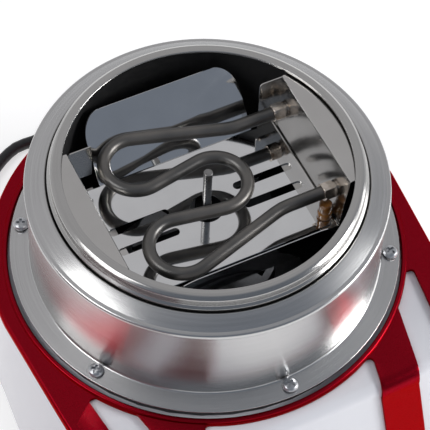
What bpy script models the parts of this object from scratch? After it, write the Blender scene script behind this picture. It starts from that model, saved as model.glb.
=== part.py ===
"""The base of a popcorn maker with its heater well open: a red cover with front straps over
a white body, a spun steel collar, a tubular heater over a mirror reflector box, and the
motor, fan and switch inside. Lengths are in metres, +Z is up, and the machine's front is -Y.
Everything is placed from the axis of the collar, and the last step puts the origin under the
middle of the whole machine, at the level that the feet stand on."""
import math
import bpy
import bmesh
from mathutils import Matrix, Vector

MM = 0.001
GAP = 0.3 * MM             # between pieces that touch
ROUND = 40                 # sides of the large turned pieces
SHELL_SIDES = 60           # sides of the cover, body and base plate

# Overall heights, from the table
TOP = 148.0 * MM           # top of the lip around the heater well
FOOT_HEIGHT = 7.0 * MM
DECK_DROP = 73.3 * MM      # from the lip down to the flat deck of the cover
DECK = TOP - DECK_DROP

# Body outline: a round back, sides that draw in, and a flat front with rounded corners
SHOULDER_SIDE = 116.0 * MM     # half width at the deck
SHOULDER_FRONT = 119.5 * MM    # reach of the front at the deck
SHOULDER_TAPER = 0.075         # how fast the sides draw in towards the front
BASE_SIDE = 123.3 * MM
BASE_FRONT = 131.5 * MM
BASE_TAPER = -0.07             # at the base the sides spread towards the front
CORNER_POWER = 8.0             # higher is a tighter front corner
BEND_SIDE = 2.0 * MM           # shoulder radius along the sides and back
BEND_FRONT = 9.0 * MM          # shoulder radius across the front
COVER_THICK = 2.0 * MM
BODY_THICK = 2.0 * MM

# Red cover
RIM_INNER = 105.8 * MM         # hole for the collar
RIM_WIDTH = 2.7 * MM
RIM_HEIGHT = 1.9 * MM
SIDE_LIP = 3.3 * MM            # drop of the cover's edge along the sides
CENTRE_EDGE = 44.3 * MM        # half width of the centre window where it meets the front
STRAP_EDGE = 66.4 * MM         # outer edge of the strap there
STRIPE_EDGE = 87.0 * MM        # outer edge of the narrow window there
CENTRE_DRAW = 0.226            # how fast each edge draws in on the deck
STRAP_DRAW = 0.221
STRIPE_DRAW = 0.134
STRAP_FAN = 0.11               # how fast the edges spread down the front
STRIPE_FAN = 0.2
SIDE_WINDOW_FRONT = 92.0 * MM
SIDE_WINDOW_BACK = 45.0 * MM
SIDE_WINDOW_FAN = 0.12

# Collar and lip, radii and depths below the lip
LIP_INNER = 74.3 * MM
LIP_OUTER = 79.4 * MM
BAND_INNER = 82.8 * MM
BAND_OUTER = 91.6 * MM
BEAD_RADIUS = 94.0 * MM
NECK_TOP = 93.0 * MM
NECK_BASE = 93.9 * MM
FLANGE_RADIUS = 104.3 * MM
FLANGE_DROP = 68.3 * MM
FLANGE_FALL = 0.15             # how fast the flange falls outwards
NECK_FILLET = 1.0 * MM
SHEET = 0.8 * MM
THIN_SHEET = 0.6 * MM

# Screws around the collar
COLLAR_SCREWS = 6
SCREW_CIRCLE = 99.1 * MM
SCREW_RADIUS = 1.8 * MM
SCREW_HEAD = 4.1 * MM
SCREW_HEAD_HEIGHT = 2.4 * MM
SCREW_CLEARANCE = 0.4 * MM

# Reflector box inside the well
BOX_TOP_HALF = 61.4 * MM
BOX_FLOOR_HALF = 57.3 * MM
BOX_LENGTH = 76.0 * MM
BOX_TOP_DROP = 2.8 * MM
FLOOR_DROP = 38.5 * MM
FLOOR_HALF_DEPTH = 36.0 * MM
DRUM_RADIUS = 77.8 * MM
SHAFT_HOLE = 8.9 * MM
SLOT_START = 18.8 * MM
SLOT_END = 53.0 * MM
SLOT_OFFSET = 6.5 * MM
SLOT_WIDTH = 4.7 * MM
MIRROR_HALF = 44.6 * MM
# how far out a mirror's top edge stands, how far below the lip, its lean and its toe's length
REAR_MIRROR = (62.5 * MM, 9.0 * MM, 0.85, 5.0 * MM)
FRONT_MIRROR = (58.0 * MM, 2.2 * MM, 0.35, 14.0 * MM)
MIRROR_CORNER = 12.0 * MM

# Heater
HEATER_RADIUS = 3.5 * MM
HEATER_DROP = 20.7 * MM
TURN_RADIUS = 16.6 * MM
TURN_PITCH = 28.0 * MM
HEATER_CENTRE = 1.4 * MM
LEFT_TURN_X = -27.2 * MM
RIGHT_TURN_X = 5.4 * MM
LEAD_BEND = 28.0 * MM
LEAD_BEND_X = 33.0 * MM
HEATER_LEAD = 28.4 * MM        # half the distance between the two ends
FERRULE_RADIUS = HEATER_RADIUS + 1.7 * MM
FERRULE_SLEEVE = HEATER_RADIUS + 0.244 * MM
FERRULE_LENGTH = 7.0 * MM
TERMINAL_RADIUS = 1.6 * MM
TERMINAL_LENGTH = 5.0 * MM

# Motor and fan
SHAFT_RADIUS = 2.4 * MM
SHAFT_TOP_DROP = 6.6 * MM
SHAFT_BOTTOM = 22.0 * MM
SHAFT_FLAT = 1.5 * MM
BUSH_CLEARANCE = 0.06 * MM
FAN_RADIUS = 40.0 * MM
FAN_BLADES = 6
FAN_LEVEL = 86.0 * MM
FAN_HEIGHT = 12.0 * MM
FAN_HUB = 8.0 * MM
STATOR_RADIUS = 39.0 * MM
STATOR_BORE = 19.6 * MM
STATOR_BOTTOM = 40.0 * MM
STATOR_HEIGHT = 20.0 * MM
ROTOR_RADIUS = 19.0 * MM
COVER_DEPTH = 11.0 * MM
BUSH_RADIUS = 5.0 * MM
MOUNT_THICK = 2.0 * MM
POST_RADIUS = 4.5 * MM
POST_CIRCLE = 52.0 * MM

# Base
BASE_THICK = 2.5 * MM
FOOT_RADIUS = 10.0 * MM
FOOT_X = 78.0 * MM
FOOT_FRONT = 88.0 * MM
FOOT_BACK = 76.0 * MM

# Power switch on the front
SWITCH_HEIGHT = 36.0 * MM
BEZEL_WIDTH = 23.0 * MM
BEZEL_HEIGHT = 17.0 * MM
BEZEL_PROUD = 1.8 * MM
ROCKER_WIDTH = 17.0 * MM
ROCKER_HEIGHT = 11.0 * MM
ROCKER_TILT = math.radians(7.0)

# Power cord
CORD_RADIUS = 3.5 * MM
EXIT_X = 34.0 * MM
EXIT_HEIGHT = 24.0 * MM
RELIEF_LENGTH = 24.0 * MM
COIL_CENTRE = (-116.0 * MM, 168.0 * MM)
COIL_TURN = 38.5 * MM

RED = ((0.30, 0.006, 0.014), 0.18, 0.35)
WHITE = ((0.78, 0.78, 0.82), 0.16, 0.0)
STEEL = ((0.62, 0.61, 0.60), 0.32, 1.0)
MIRROR = ((0.70, 0.70, 0.70), 0.06, 1.0)
BLACK_STEEL = ((0.015, 0.015, 0.016), 0.55, 0.3)
BLACK_PLASTIC = ((0.02, 0.02, 0.022), 0.42, 0.0)
RUBBER = ((0.03, 0.03, 0.03), 0.8, 0.0)
ZINC = ((0.75, 0.75, 0.76), 0.25, 1.0)
HEATER = ((0.16, 0.145, 0.13), 0.38, 0.85)
NICKEL = ((0.72, 0.66, 0.60), 0.22, 1.0)
AMBER = ((0.55, 0.22, 0.03), 0.35, 0.0)
COPPER = ((0.55, 0.22, 0.10), 0.35, 1.0)
CORE = ((0.25, 0.25, 0.26), 0.5, 1.0)
BRONZE = ((0.50, 0.33, 0.16), 0.4, 1.0)
FIBRE = ((0.06, 0.055, 0.05), 0.85, 0.0)


# --- Scene helpers -----------------------------------------------------------------------

for old in list(bpy.data.objects):
    bpy.data.objects.remove(old, do_unlink=True)

parts = bpy.data.collections.new("popcorn_maker")
cutters = bpy.data.collections.new("cutters")
for group in (parts, cutters):
    bpy.context.scene.collection.children.link(group)

axis = bpy.data.objects.new("collar_axis", None)
parts.objects.link(axis)


def finish_of(name, look):
    """A Principled material from a colour, a roughness and a metallic value."""
    colour, roughness, metallic = look
    material = bpy.data.materials.get(name) or bpy.data.materials.new(name)
    material.use_nodes = True
    shader = material.node_tree.nodes["Principled BSDF"]
    shader.inputs["Base Color"].default_value = (*colour, 1.0)
    shader.inputs["Roughness"].default_value = roughness
    shader.inputs["Metallic"].default_value = metallic
    material.diffuse_color = (*colour, 1.0)
    return material


def add_mesh(name, bm, look=None, parent=axis):
    """Links a bmesh as a named part, or as a cutter where no look is given."""
    bmesh.ops.recalc_face_normals(bm, faces=bm.faces)
    mesh = bpy.data.meshes.new(name)
    bm.to_mesh(mesh)
    bm.free()
    piece = bpy.data.objects.new(name, mesh)
    piece.parent = parent
    if look is None:
        cutters.objects.link(piece)
        piece.hide_render = True
        piece.display_type = "WIRE"
        return piece
    parts.objects.link(piece)
    mesh.materials.append(finish_of(name, look))
    mesh.shade_smooth()
    mesh.set_sharp_from_angle(angle=math.radians(35))
    return piece


def cylinder_mesh(
        bm, radius, bottom, top, centre=(0.0, 0.0), sides=24, top_radius=None, turn=None, twist=0.0):
    """Adds one closed upright cylinder or cone to a bmesh; turn is a matrix applied last."""
    place = Matrix.Translation((centre[0], centre[1], (bottom + top) / 2)) @ Matrix.Rotation(twist, 4, "Z")
    if turn is not None:
        place = turn @ place
    bmesh.ops.create_cone(
        bm, cap_ends=True, segments=sides, radius1=radius,
        radius2=radius if top_radius is None else top_radius, depth=top - bottom, matrix=place)


def box_mesh(bm, low, high, turn=None):
    """Adds one closed box between two corners to a bmesh."""
    size = [b - a for a, b in zip(low, high)]
    middle = [(a + b) / 2 for a, b in zip(low, high)]
    place = Matrix.Translation(middle) @ Matrix.Diagonal((*size, 1.0))
    if turn is not None:
        place = turn @ place
    bmesh.ops.create_cube(bm, size=1.0, matrix=place)


def cylinder(name, look, radius, bottom, top, **place):
    parent = place.pop("parent", axis)
    bm = bmesh.new()
    cylinder_mesh(bm, radius, bottom, top, **place)
    return add_mesh(name, bm, look, parent)


def box(name, look, low, high, parent=axis, turn=None):
    bm = bmesh.new()
    box_mesh(bm, low, high, turn)
    return add_mesh(name, bm, look, parent)


def prism(name, look, outline, low, high, plane="XY", parent=axis):
    """A flat outline given in one plane, pushed out square to that plane."""
    spots = {
        "XY": lambda u, v, w: (u, v, w),
        "XZ": lambda u, v, w: (u, w, v),
        "YZ": lambda u, v, w: (w, u, v),
    }[plane]
    bm = bmesh.new()
    face = bm.faces.new([bm.verts.new(spots(u, v, low)) for u, v in outline])
    pushed = bmesh.ops.extrude_face_region(bm, geom=[face])["geom"]
    shift = Vector(spots(0.0, 0.0, high - low))
    bmesh.ops.translate(bm, vec=shift, verts=[g for g in pushed if isinstance(g, bmesh.types.BMVert)])
    return add_mesh(name, bm, look, parent)


def turned(name, look, profile, closed=True, sides=ROUND, parent=axis):
    """A turned piece: its (radius, height) profile runs down the outer side first."""
    mesh = bpy.data.meshes.new(name)
    points = [(radius, 0.0, height) for radius, height in profile]
    edges = [(i, i + 1) for i in range(len(points) - 1)]
    if closed:
        edges.append((len(points) - 1, 0))
    mesh.from_pydata(points, edges, [])
    piece = bpy.data.objects.new(name, mesh)
    piece.parent = parent
    parts.objects.link(piece)
    mesh.materials.append(finish_of(name, look))
    screw = piece.modifiers.new("turn", "SCREW")
    screw.steps = screw.render_steps = sides
    screw.use_merge_vertices = True
    screw.merge_threshold = 1e-5
    screw.use_smooth_shade = True
    return piece


def boolean(piece, tool, operation="DIFFERENCE"):
    modifier = piece.modifiers.new(tool.name, "BOOLEAN")
    modifier.operation = operation
    modifier.object = tool
    return piece


def arc(centre, radius, start, end, steps):
    """Points on an arc, angles in degrees."""
    turns = [math.radians(start + (end - start) * i / steps) for i in range(steps + 1)]
    return [(centre[0] + radius * math.cos(a), centre[1] + radius * math.sin(a)) for a in turns]


def round_box(half_width, half_height, radius, steps=4, centre=(0.0, 0.0)):
    """The outline of a rectangle with round corners."""
    outline = []
    for sign_x, sign_y, start in ((1, 1, 0), (-1, 1, 90), (-1, -1, 180), (1, -1, 270)):
        corner = (centre[0] + sign_x * (half_width - radius), centre[1] + sign_y * (half_height - radius))
        outline += arc(corner, radius, start, start + 90, steps)
    return outline


def sheet_outline(points, thickness):
    """The closed outline of a bent sheet: its face line and the same line moved by its thickness."""
    line = [Vector(p) for p in points]
    moved = []
    for i, spot in enumerate(line):
        before = (spot - line[i - 1]).normalized() if i else None
        after = (line[i + 1] - spot).normalized() if i < len(line) - 1 else None
        before = before or after
        after = after or before
        normal = Vector((-before.y - after.y, before.x + after.x)).normalized()
        share = max(0.3, normal.dot(Vector((-after.y, after.x))))
        moved.append(spot + normal * thickness / share)
    return [tuple(p) for p in line] + [tuple(p) for p in reversed(moved)]


def tube(name, look, route, radius, resolution=2):
    """A solid round wire along a list of points."""
    curve = bpy.data.curves.new(name, "CURVE")
    curve.dimensions = "3D"
    curve.bevel_depth = radius
    curve.bevel_resolution = resolution
    curve.use_fill_caps = True
    spline = curve.splines.new("POLY")
    spline.points.add(len(route) - 1)
    for point, spot in zip(spline.points, route):
        point.co = (*spot, 1.0)
    piece = bpy.data.objects.new(name, curve)
    piece.parent = axis
    parts.objects.link(piece)
    curve.materials.append(finish_of(name, look))
    return piece


def polar(radius, angle):
    return (radius * math.cos(angle), radius * math.sin(angle))


def around(count, radius, start=0.0):
    """Evenly spaced places on a circle, with the angle of each."""
    for i in range(count):
        angle = math.radians(start) + 2 * math.pi * i / count
        yield i + 1, angle, polar(radius, angle)


# --- Red cover and white body ------------------------------------------------------------

def outline_radius(angle, side, front, taper):
    """Distance from the axis to the outline: round behind, drawn-in sides and a flat front."""
    across = abs(math.cos(angle))
    ahead = -math.sin(angle)
    if ahead <= 0:
        return side
    to_side = side / (across + taper * ahead)
    to_front = front / ahead
    return (to_side ** -CORNER_POWER + to_front ** -CORNER_POWER) ** (-1 / CORNER_POWER)


def shoulder(angle):
    return outline_radius(angle, SHOULDER_SIDE, SHOULDER_FRONT, SHOULDER_TAPER)


def base_line(angle):
    return outline_radius(angle, BASE_SIDE, BASE_FRONT, BASE_TAPER)


def bend_radius(angle):
    """The shoulder's bend: small along the sides and back, larger across the front."""
    blend = min(1.0, max(0.0, (-math.sin(angle) - 0.62) / 0.2))
    return BEND_SIDE + (BEND_FRONT - BEND_SIDE) * blend * blend * (3 - 2 * blend)


def skin(angle, inset, floor, bend_steps=3):
    """The (radius, height) line of a skin at one angle, from the deck to its bottom edge."""
    outer = shoulder(angle)
    bend = bend_radius(angle)
    turn = max(bend - inset, 0.4 * MM)
    level = DECK - inset
    line = []
    for i in range(bend_steps + 1):
        slope = math.pi / 2 * (1 - i / bend_steps)
        line.append((outer - inset - turn * (1 - math.cos(slope)), level - turn * (1 - math.sin(slope))))
    run = (DECK - bend - floor) / (DECK - bend - FOOT_HEIGHT)
    line.append((outer - inset + (base_line(angle) - outer) * run, floor))
    return line


def shell(name, look, inset, thickness, floor, start, sides=SHELL_SIDES):
    """A closed shell between two skins; start is its inner edge, seen as a (radius, height) line."""
    rings = []
    for i in range(sides):
        angle = 2 * math.pi * i / sides
        outside = start + skin(angle, inset, floor)
        inside = skin(angle, inset + thickness, floor)
        inside.append((outside[-1][0] - thickness, floor))
        del inside[-2]
        section = outside + inside[::-1]
        rings.append([(r * math.cos(angle), r * math.sin(angle), z) for r, z in section])
    bm = bmesh.new()
    grid = [[bm.verts.new(spot) for spot in ring] for ring in rings]
    count = len(grid[0])
    for i in range(sides):
        here, after = grid[i], grid[(i + 1) % sides]
        for j in range(count):
            k = (j + 1) % count
            # The same diagonal on every skin keeps the gap between two shells even
            if here[j].co.z >= here[k].co.z:
                bm.faces.new((here[j], here[k], after[k]))
                bm.faces.new((here[j], after[k], after[j]))
            else:
                bm.faces.new((here[j], here[k], after[j]))
                bm.faces.new((here[k], after[k], after[j]))
    return add_mesh(name, bm, look)


def mirrored(outline):
    return [(-x, y) for x, y in reversed(outline)]


def deck_window(inner, inner_draw, outer, outer_draw, reach):
    """A window's outline on the deck; its edges are given where they meet the front."""
    far = SHOULDER_FRONT + 4 * MM
    near = reach

    def edge(place, draw, ahead):
        return place + draw * (SHOULDER_FRONT - ahead)
    return [
        (edge(inner, inner_draw, near), -near), (edge(inner, inner_draw, far), -far),
        (edge(outer, outer_draw, far), -far), (edge(outer, outer_draw, near), -near)]


def front_window(inner, outer, inner_fan, outer_fan):
    """The same window's outline on the front, spreading downwards."""
    top = DECK - BEND_FRONT
    drop = top + 5 * MM
    lap = 0.4 * MM
    return [
        (inner, top + lap), (outer, top + lap), (outer + outer_fan * drop, top - drop),
        (inner + inner_fan * drop, top - drop)]


def cut_deck_window(cover, name, outline):
    """Cuts a deck window, stopped by a round tool that leaves the rim whole."""
    tool = prism(name, None, outline, DECK - BEND_FRONT, DECK + 4 * MM)
    keep = cylinder(
        name + "_rim", None, RIM_INNER + RIM_WIDTH + GAP, DECK - 30 * MM, DECK + 20 * MM, sides=SHELL_SIDES,
        twist=0.5 * math.pi / SHELL_SIDES)
    boolean(tool, keep)
    return boolean(cover, tool)


def red_cover():
    rim_outer = RIM_INNER + RIM_WIDTH
    rim_top = DECK + RIM_HEIGHT
    edge = 0.6 * MM
    start = [
        (rim_outer, DECK - COVER_THICK), (RIM_INNER, DECK - COVER_THICK), (RIM_INNER, rim_top - edge),
        (RIM_INNER + edge, rim_top), (rim_outer - edge, rim_top), (rim_outer - edge / 3, rim_top - edge),
        (rim_outer, DECK)]
    cover = shell("red_cover", RED, 0.0, COVER_THICK, FOOT_HEIGHT + 1.5 * MM, start)
    reach = 60 * MM
    centre = deck_window(-CENTRE_EDGE, -CENTRE_DRAW, CENTRE_EDGE, CENTRE_DRAW, reach)
    stripe = deck_window(STRAP_EDGE, STRAP_DRAW, STRIPE_EDGE, STRIPE_DRAW, reach)
    cut_deck_window(cover, "centre_deck_window", centre)
    cut_deck_window(cover, "right_deck_window", stripe)
    cut_deck_window(cover, "left_deck_window", mirrored(stripe))
    centre = front_window(-CENTRE_EDGE, CENTRE_EDGE, -STRAP_FAN, STRAP_FAN)
    stripe = front_window(STRAP_EDGE, STRIPE_EDGE, STRAP_FAN, STRIPE_FAN)
    for name, outline in (("centre", centre), ("right", stripe), ("left", mirrored(stripe))):
        boolean(cover, prism(name + "_front_window", None, outline, -BASE_FRONT - 20 * MM, -62 * MM, "XZ"))
    top = DECK - SIDE_LIP
    drop = top + 5 * MM
    side = [
        (-SIDE_WINDOW_FRONT, top), (SIDE_WINDOW_BACK, top),
        (SIDE_WINDOW_BACK + SIDE_WINDOW_FAN * drop, -5 * MM),
        (-SIDE_WINDOW_FRONT - SIDE_WINDOW_FAN * drop, -5 * MM)]
    inner = 90 * MM
    outer = BASE_SIDE + 40 * MM
    boolean(cover, prism("right_side_window", None, side, inner, outer, "YZ"))
    boolean(cover, prism("left_side_window", None, side, -outer, -inner, "YZ"))
    return cover


def screw_holes(name, radius, spots, bottom, top, sides=10):
    """One cutter with an upright hole at each place."""
    bm = bmesh.new()
    for spot in spots:
        cylinder_mesh(bm, radius, bottom, top, centre=spot, sides=sides, twist=0.13)
    return add_mesh(name, bm)


collar_spots = [spot for _, _, spot in around(COLLAR_SCREWS, SCREW_CIRCLE, -90.0)]
collar_holes = screw_holes(
    "collar_screw_holes", SCREW_RADIUS + SCREW_CLEARANCE, collar_spots, DECK - 20 * MM, DECK + 20 * MM)
body_inset = COVER_THICK + GAP
deck_hole = 88.0 * MM


def white_body():
    level = DECK - body_inset
    start = [(deck_hole, level - BODY_THICK), (deck_hole, level)]
    body = shell("white_body", WHITE, body_inset, BODY_THICK, FOOT_HEIGHT, start)
    return boolean(body, collar_holes)


# --- Collar, lip, drum and their screws --------------------------------------------------

def flange_line(radius):
    """Height of the collar flange's top at one radius: it falls slightly outwards."""
    outer = TOP - FLANGE_DROP
    return outer + (FLANGE_RADIUS - radius) * FLANGE_FALL


def collar():
    fillet = NECK_FILLET
    base = flange_line(NECK_BASE + fillet)
    outside = [
        (BAND_INNER, TOP - 11 * MM), (BAND_INNER, TOP - 8.1 * MM), (BAND_INNER + 0.8 * MM, TOP - 7.6 * MM),
        (BAND_OUTER, TOP - 12.0 * MM), (BEAD_RADIUS - 0.9 * MM, TOP - 12.5 * MM),
        (BEAD_RADIUS, TOP - 13.8 * MM), (BEAD_RADIUS - 0.3 * MM, TOP - 15.0 * MM),
        (NECK_TOP, TOP - 15.8 * MM)]
    outside += [(NECK_BASE, base + fillet)]
    outside += arc((NECK_BASE + fillet, base + fillet), fillet, 225, 270, 1)
    outside += [(FLANGE_RADIUS, flange_line(FLANGE_RADIUS))]
    inside = [(r, z - SHEET) for r, z in outside]
    neck = [
        (NECK_BASE - SHEET, base + fillet), (NECK_TOP - SHEET, TOP - 15.8 * MM),
        (BEAD_RADIUS - 1.4 * MM, TOP - 14.2 * MM), (BAND_OUTER - 0.4 * MM, TOP - 12.9 * MM),
        (BAND_INNER + SHEET, TOP - 8.6 * MM), (BAND_INNER + SHEET, TOP - 11 * MM)]
    under = [
        (FLANGE_RADIUS, inside[-1][1]), (NECK_BASE + fillet, base - SHEET),
        (NECK_BASE + 0.4 * MM, base + 0.2 * MM)]
    profile = outside + under + neck
    piece = turned("collar", STEEL, profile)
    return boolean(piece, collar_holes)


def lip_ring():
    skirt = 82.0 * MM
    bottom = DECK + 3.7 * MM
    reach = 102.0 * MM
    thick = THIN_SHEET
    outside = [
        (LIP_INNER, TOP - 0.9 * MM), (LIP_INNER + 0.2 * MM, TOP - 0.2 * MM), (LIP_INNER + 0.9 * MM, TOP),
        (LIP_OUTER - 0.6 * MM, TOP), (LIP_OUTER, TOP - 0.5 * MM), (LIP_OUTER + 1.2 * MM, TOP - 3.3 * MM),
        (skirt, TOP - 6.6 * MM), (skirt, bottom + thick), (reach, bottom + thick), (reach, bottom)]
    inside = [
        (skirt - thick, bottom), (skirt - thick, TOP - 6.8 * MM), (LIP_OUTER + 0.6 * MM, TOP - 3.6 * MM),
        (LIP_OUTER - 0.7 * MM, TOP - 1.0 * MM), (LIP_INNER + 0.9 * MM, TOP - 1.0 * MM)]
    return boolean(turned("lip_ring", STEEL, outside + inside), collar_holes)


def drum():
    level = DECK + 2.8 * MM
    reach = 102.0 * MM
    inner = DRUM_RADIUS - THIN_SHEET
    profile = [
        (DRUM_RADIUS, TOP - 1.6 * MM), (DRUM_RADIUS, level + THIN_SHEET), (reach, level + THIN_SHEET),
        (reach, level), (inner, level), (inner, TOP - 1.6 * MM)]
    return boolean(turned("drum", BLACK_STEEL, profile), collar_holes)


def spacer_ring():
    low = DECK - body_inset + GAP
    high = DECK + 2.8 * MM - GAP
    profile = [(102.5 * MM, high), (102.5 * MM, low), (90.0 * MM, low), (90.0 * MM, high)]
    return boolean(turned("spacer_ring", FIBRE, profile), collar_holes)


def screw_mesh(bm, head, head_height, shank, length, sides=10):
    """A pan-head screw standing on its seat at the origin, with its shank below."""
    rings = [(head, 0.0), (head, 0.35 * head_height), (0.62 * head, head_height)]
    points = [(0.0, head_height)] + rings[::-1] + [(shank, 0.0), (shank, -length), (0.0, -length)]
    grid = []
    for radius, height in points:
        if radius == 0.0:
            grid.append([bm.verts.new((0.0, 0.0, height))])
            continue
        grid.append([bm.verts.new((*polar(radius, 2 * math.pi * i / sides), height)) for i in range(sides)])
    for upper, lower in zip(grid, grid[1:]):
        for i in range(sides):
            k = (i + 1) % sides
            corners = [
                upper[i % len(upper)], lower[i % len(lower)], lower[k % len(lower)], upper[k % len(upper)]]
            bm.faces.new(list(dict.fromkeys(corners)))


def screw(name, look, spot, seat, head, head_height, shank, length, turn=0.0):
    """Places one screw; its cross recess is cut by a plus-shaped tool."""
    bm = bmesh.new()
    screw_mesh(bm, head, head_height, shank, length)
    piece = add_mesh(name, bm, look)
    width, reach, depth = 0.16 * head, 0.55 * head, 0.6 * head_height
    arm = [(reach, -width), (reach, width), (width, width)]
    cross = [(x * c - y * s, x * s + y * c) for c, s in ((1, 0), (0, 1), (-1, 0), (0, -1)) for x, y in arm]
    recess = prism(name + "_cross", None, cross, head_height - depth, head_height + depth, parent=piece)
    boolean(piece, recess)
    piece.location = (*spot, seat)
    piece.rotation_euler = (0.0, 0.0, turn)
    return piece


def collar_screws():
    seat = flange_line(SCREW_CIRCLE - SCREW_HEAD) + GAP
    for i, angle, spot in around(COLLAR_SCREWS, SCREW_CIRCLE, -90.0):
        screw(
            f"collar_screw_{i}", ZINC, spot, seat, SCREW_HEAD, SCREW_HEAD_HEIGHT, SCREW_RADIUS,
            14 * MM, turn=angle + 0.6 * i)


# --- Reflector box -----------------------------------------------------------------------

well_limit = cylinder(
    "well_limit", None, DRUM_RADIUS - THIN_SHEET - 0.9 * MM, DECK, TOP + 10 * MM, sides=96)


def side_wall(name, sign):
    """One side of the reflector box: top flange, leaning wall and a floor support, bent from one sheet."""
    top = TOP - BOX_TOP_DROP
    floor = TOP - FLOOR_DROP - THIN_SHEET - GAP
    line = [
        (DRUM_RADIUS, top), (BOX_TOP_HALF, top), (BOX_FLOOR_HALF + 0.6 * MM, floor),
        (BOX_FLOOR_HALF - 9 * MM, floor)]
    outline = [(sign * x, z) for x, z in sheet_outline(line, THIN_SHEET)]
    half = BOX_LENGTH / 2
    wall = prism(name, MIRROR, outline, -half, half, "XZ")
    tab_low = (BOX_TOP_HALF - 13 * MM, half - THIN_SHEET, top - 24 * MM)
    tab_high = (BOX_TOP_HALF - 0.1 * MM, half, top - THIN_SHEET)
    low = (min(sign * tab_low[0], sign * tab_high[0]), tab_low[1], tab_low[2])
    high = (max(sign * tab_low[0], sign * tab_high[0]), tab_high[1], tab_high[2])
    boolean(wall, box(name + "_tab", None, low, high), "UNION")
    boolean(wall, well_limit, "INTERSECT")
    if sign > 0:
        for label, side in (("rear", 1), ("front", -1)):
            spot = HEATER_CENTRE + side * HEATER_LEAD
            turn = Matrix.Translation((0.0, spot, TOP - HEATER_DROP)) @ Matrix.Rotation(math.pi / 2, 4, "Y")
            tool = cylinder(
                f"{label}_ferrule_hole", None, FERRULE_SLEEVE + GAP, 40 * MM, 80 * MM, sides=16,
                turn=turn)
            boolean(wall, tool)
    return wall


def reflector_floor():
    level = TOP - FLOOR_DROP
    outline = round_box(BOX_FLOOR_HALF - 0.7 * MM, FLOOR_HALF_DEPTH, 3 * MM)
    floor = prism("reflector_floor", MIRROR, outline, level - THIN_SHEET, level)
    boolean(floor, cylinder("shaft_hole", None, SHAFT_HOLE, level - 5 * MM, level + 5 * MM, sides=32))
    middle = (SLOT_START + SLOT_END) / 2
    half = (SLOT_END - SLOT_START) / 2
    for side_x, side_y in ((1, 1), (1, -1), (-1, 1), (-1, -1)):
        spot = (side_x * middle, side_y * SLOT_OFFSET)
        slot = round_box(half, SLOT_WIDTH / 2, SLOT_WIDTH / 2 - 0.1 * MM, 3, spot)
        label = ("right" if side_x > 0 else "left") + ("_rear" if side_y > 0 else "_front")
        boolean(floor, prism(label + "_slot", None, slot, level - 5 * MM, level + 5 * MM))
    return floor


def mirror_plate(name, sign, reach, drop, lean, toe):
    """A leaning mirror across the front or the back, with a foot that bolts under the floor."""
    top = TOP - drop
    foot = TOP - FLOOR_DROP - 2 * THIN_SHEET - 2 * GAP - 4.5 * MM
    run = (top - foot) * lean
    line = [(reach, top), (reach - run, foot), (reach - run - toe, foot)]
    outline = [(sign * y, z) for y, z in sheet_outline(line, THIN_SHEET)]
    plate = prism(name, MIRROR, outline, -MIRROR_HALF, MIRROR_HALF, "YZ")
    shape = arc((MIRROR_HALF - MIRROR_CORNER, top - MIRROR_CORNER), MIRROR_CORNER, 0, 90, 6)
    shape += [(-x, z) for x, z in reversed(shape)]
    shape += [(-MIRROR_HALF, foot - 10 * MM), (MIRROR_HALF, foot - 10 * MM)]
    low, high = sorted((sign * 10 * MM, sign * 90 * MM))
    boolean(plate, prism(name + "_outline", None, shape, low, high, "XZ"), "INTERSECT")
    return plate


# --- Heater ------------------------------------------------------------------------------

def wrap(circles, start, end, step=math.radians(26)):
    """A path from start to end that runs straight between circles and bends round each one.

    Each circle is (x, y, radius, sense), with sense 1 to turn left round it and -1 to turn right."""
    path = [start]
    stops = [(*start, 0.0, 1)] + circles + [(*end, 0.0, 1)]
    touches = []
    for (x0, y0, r0, s0), (x1, y1, r1, s1) in zip(stops, stops[1:]):
        gap = math.hypot(x1 - x0, y1 - y0)
        heading = math.atan2(y1 - y0, x1 - x0) - math.asin((s1 * r1 - s0 * r0) / gap)
        touches.append((heading, (x0, y0, r0, s0), (x1, y1, r1, s1)))
    for (arrive, _, circle), (leave, _, _) in zip(touches, touches[1:]):
        x, y, radius, sense = circle
        turn = (leave - arrive) * sense % (2 * math.pi)
        count = max(2, round(turn / step))
        for i in range(count + 1):
            heading = arrive + sense * turn * i / count
            normal = heading - sense * math.pi / 2
            path.append((x + radius * math.cos(normal), y + radius * math.sin(normal)))
    return path + [end]


def heater_route():
    """The serpentine's centre line: two turns on the left, one on the right, and two bent leads."""
    wall_x = BOX_TOP_HALF + 3.0 * MM
    ends = [HEATER_CENTRE + side * HEATER_LEAD for side in (1, -1)]
    circles = [
        (LEAD_BEND_X, ends[0] + LEAD_BEND, LEAD_BEND, -1),
        (LEFT_TURN_X, HEATER_CENTRE + TURN_PITCH, TURN_RADIUS, 1),
        (RIGHT_TURN_X, HEATER_CENTRE, TURN_RADIUS, -1),
        (LEFT_TURN_X, HEATER_CENTRE - TURN_PITCH, TURN_RADIUS, 1),
        (LEAD_BEND_X, ends[1] - LEAD_BEND, LEAD_BEND, -1)]
    flat = wrap(circles, (wall_x, ends[0]), (wall_x, ends[1]))
    return [(x, y, TOP - HEATER_DROP) for x, y in flat]


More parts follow.
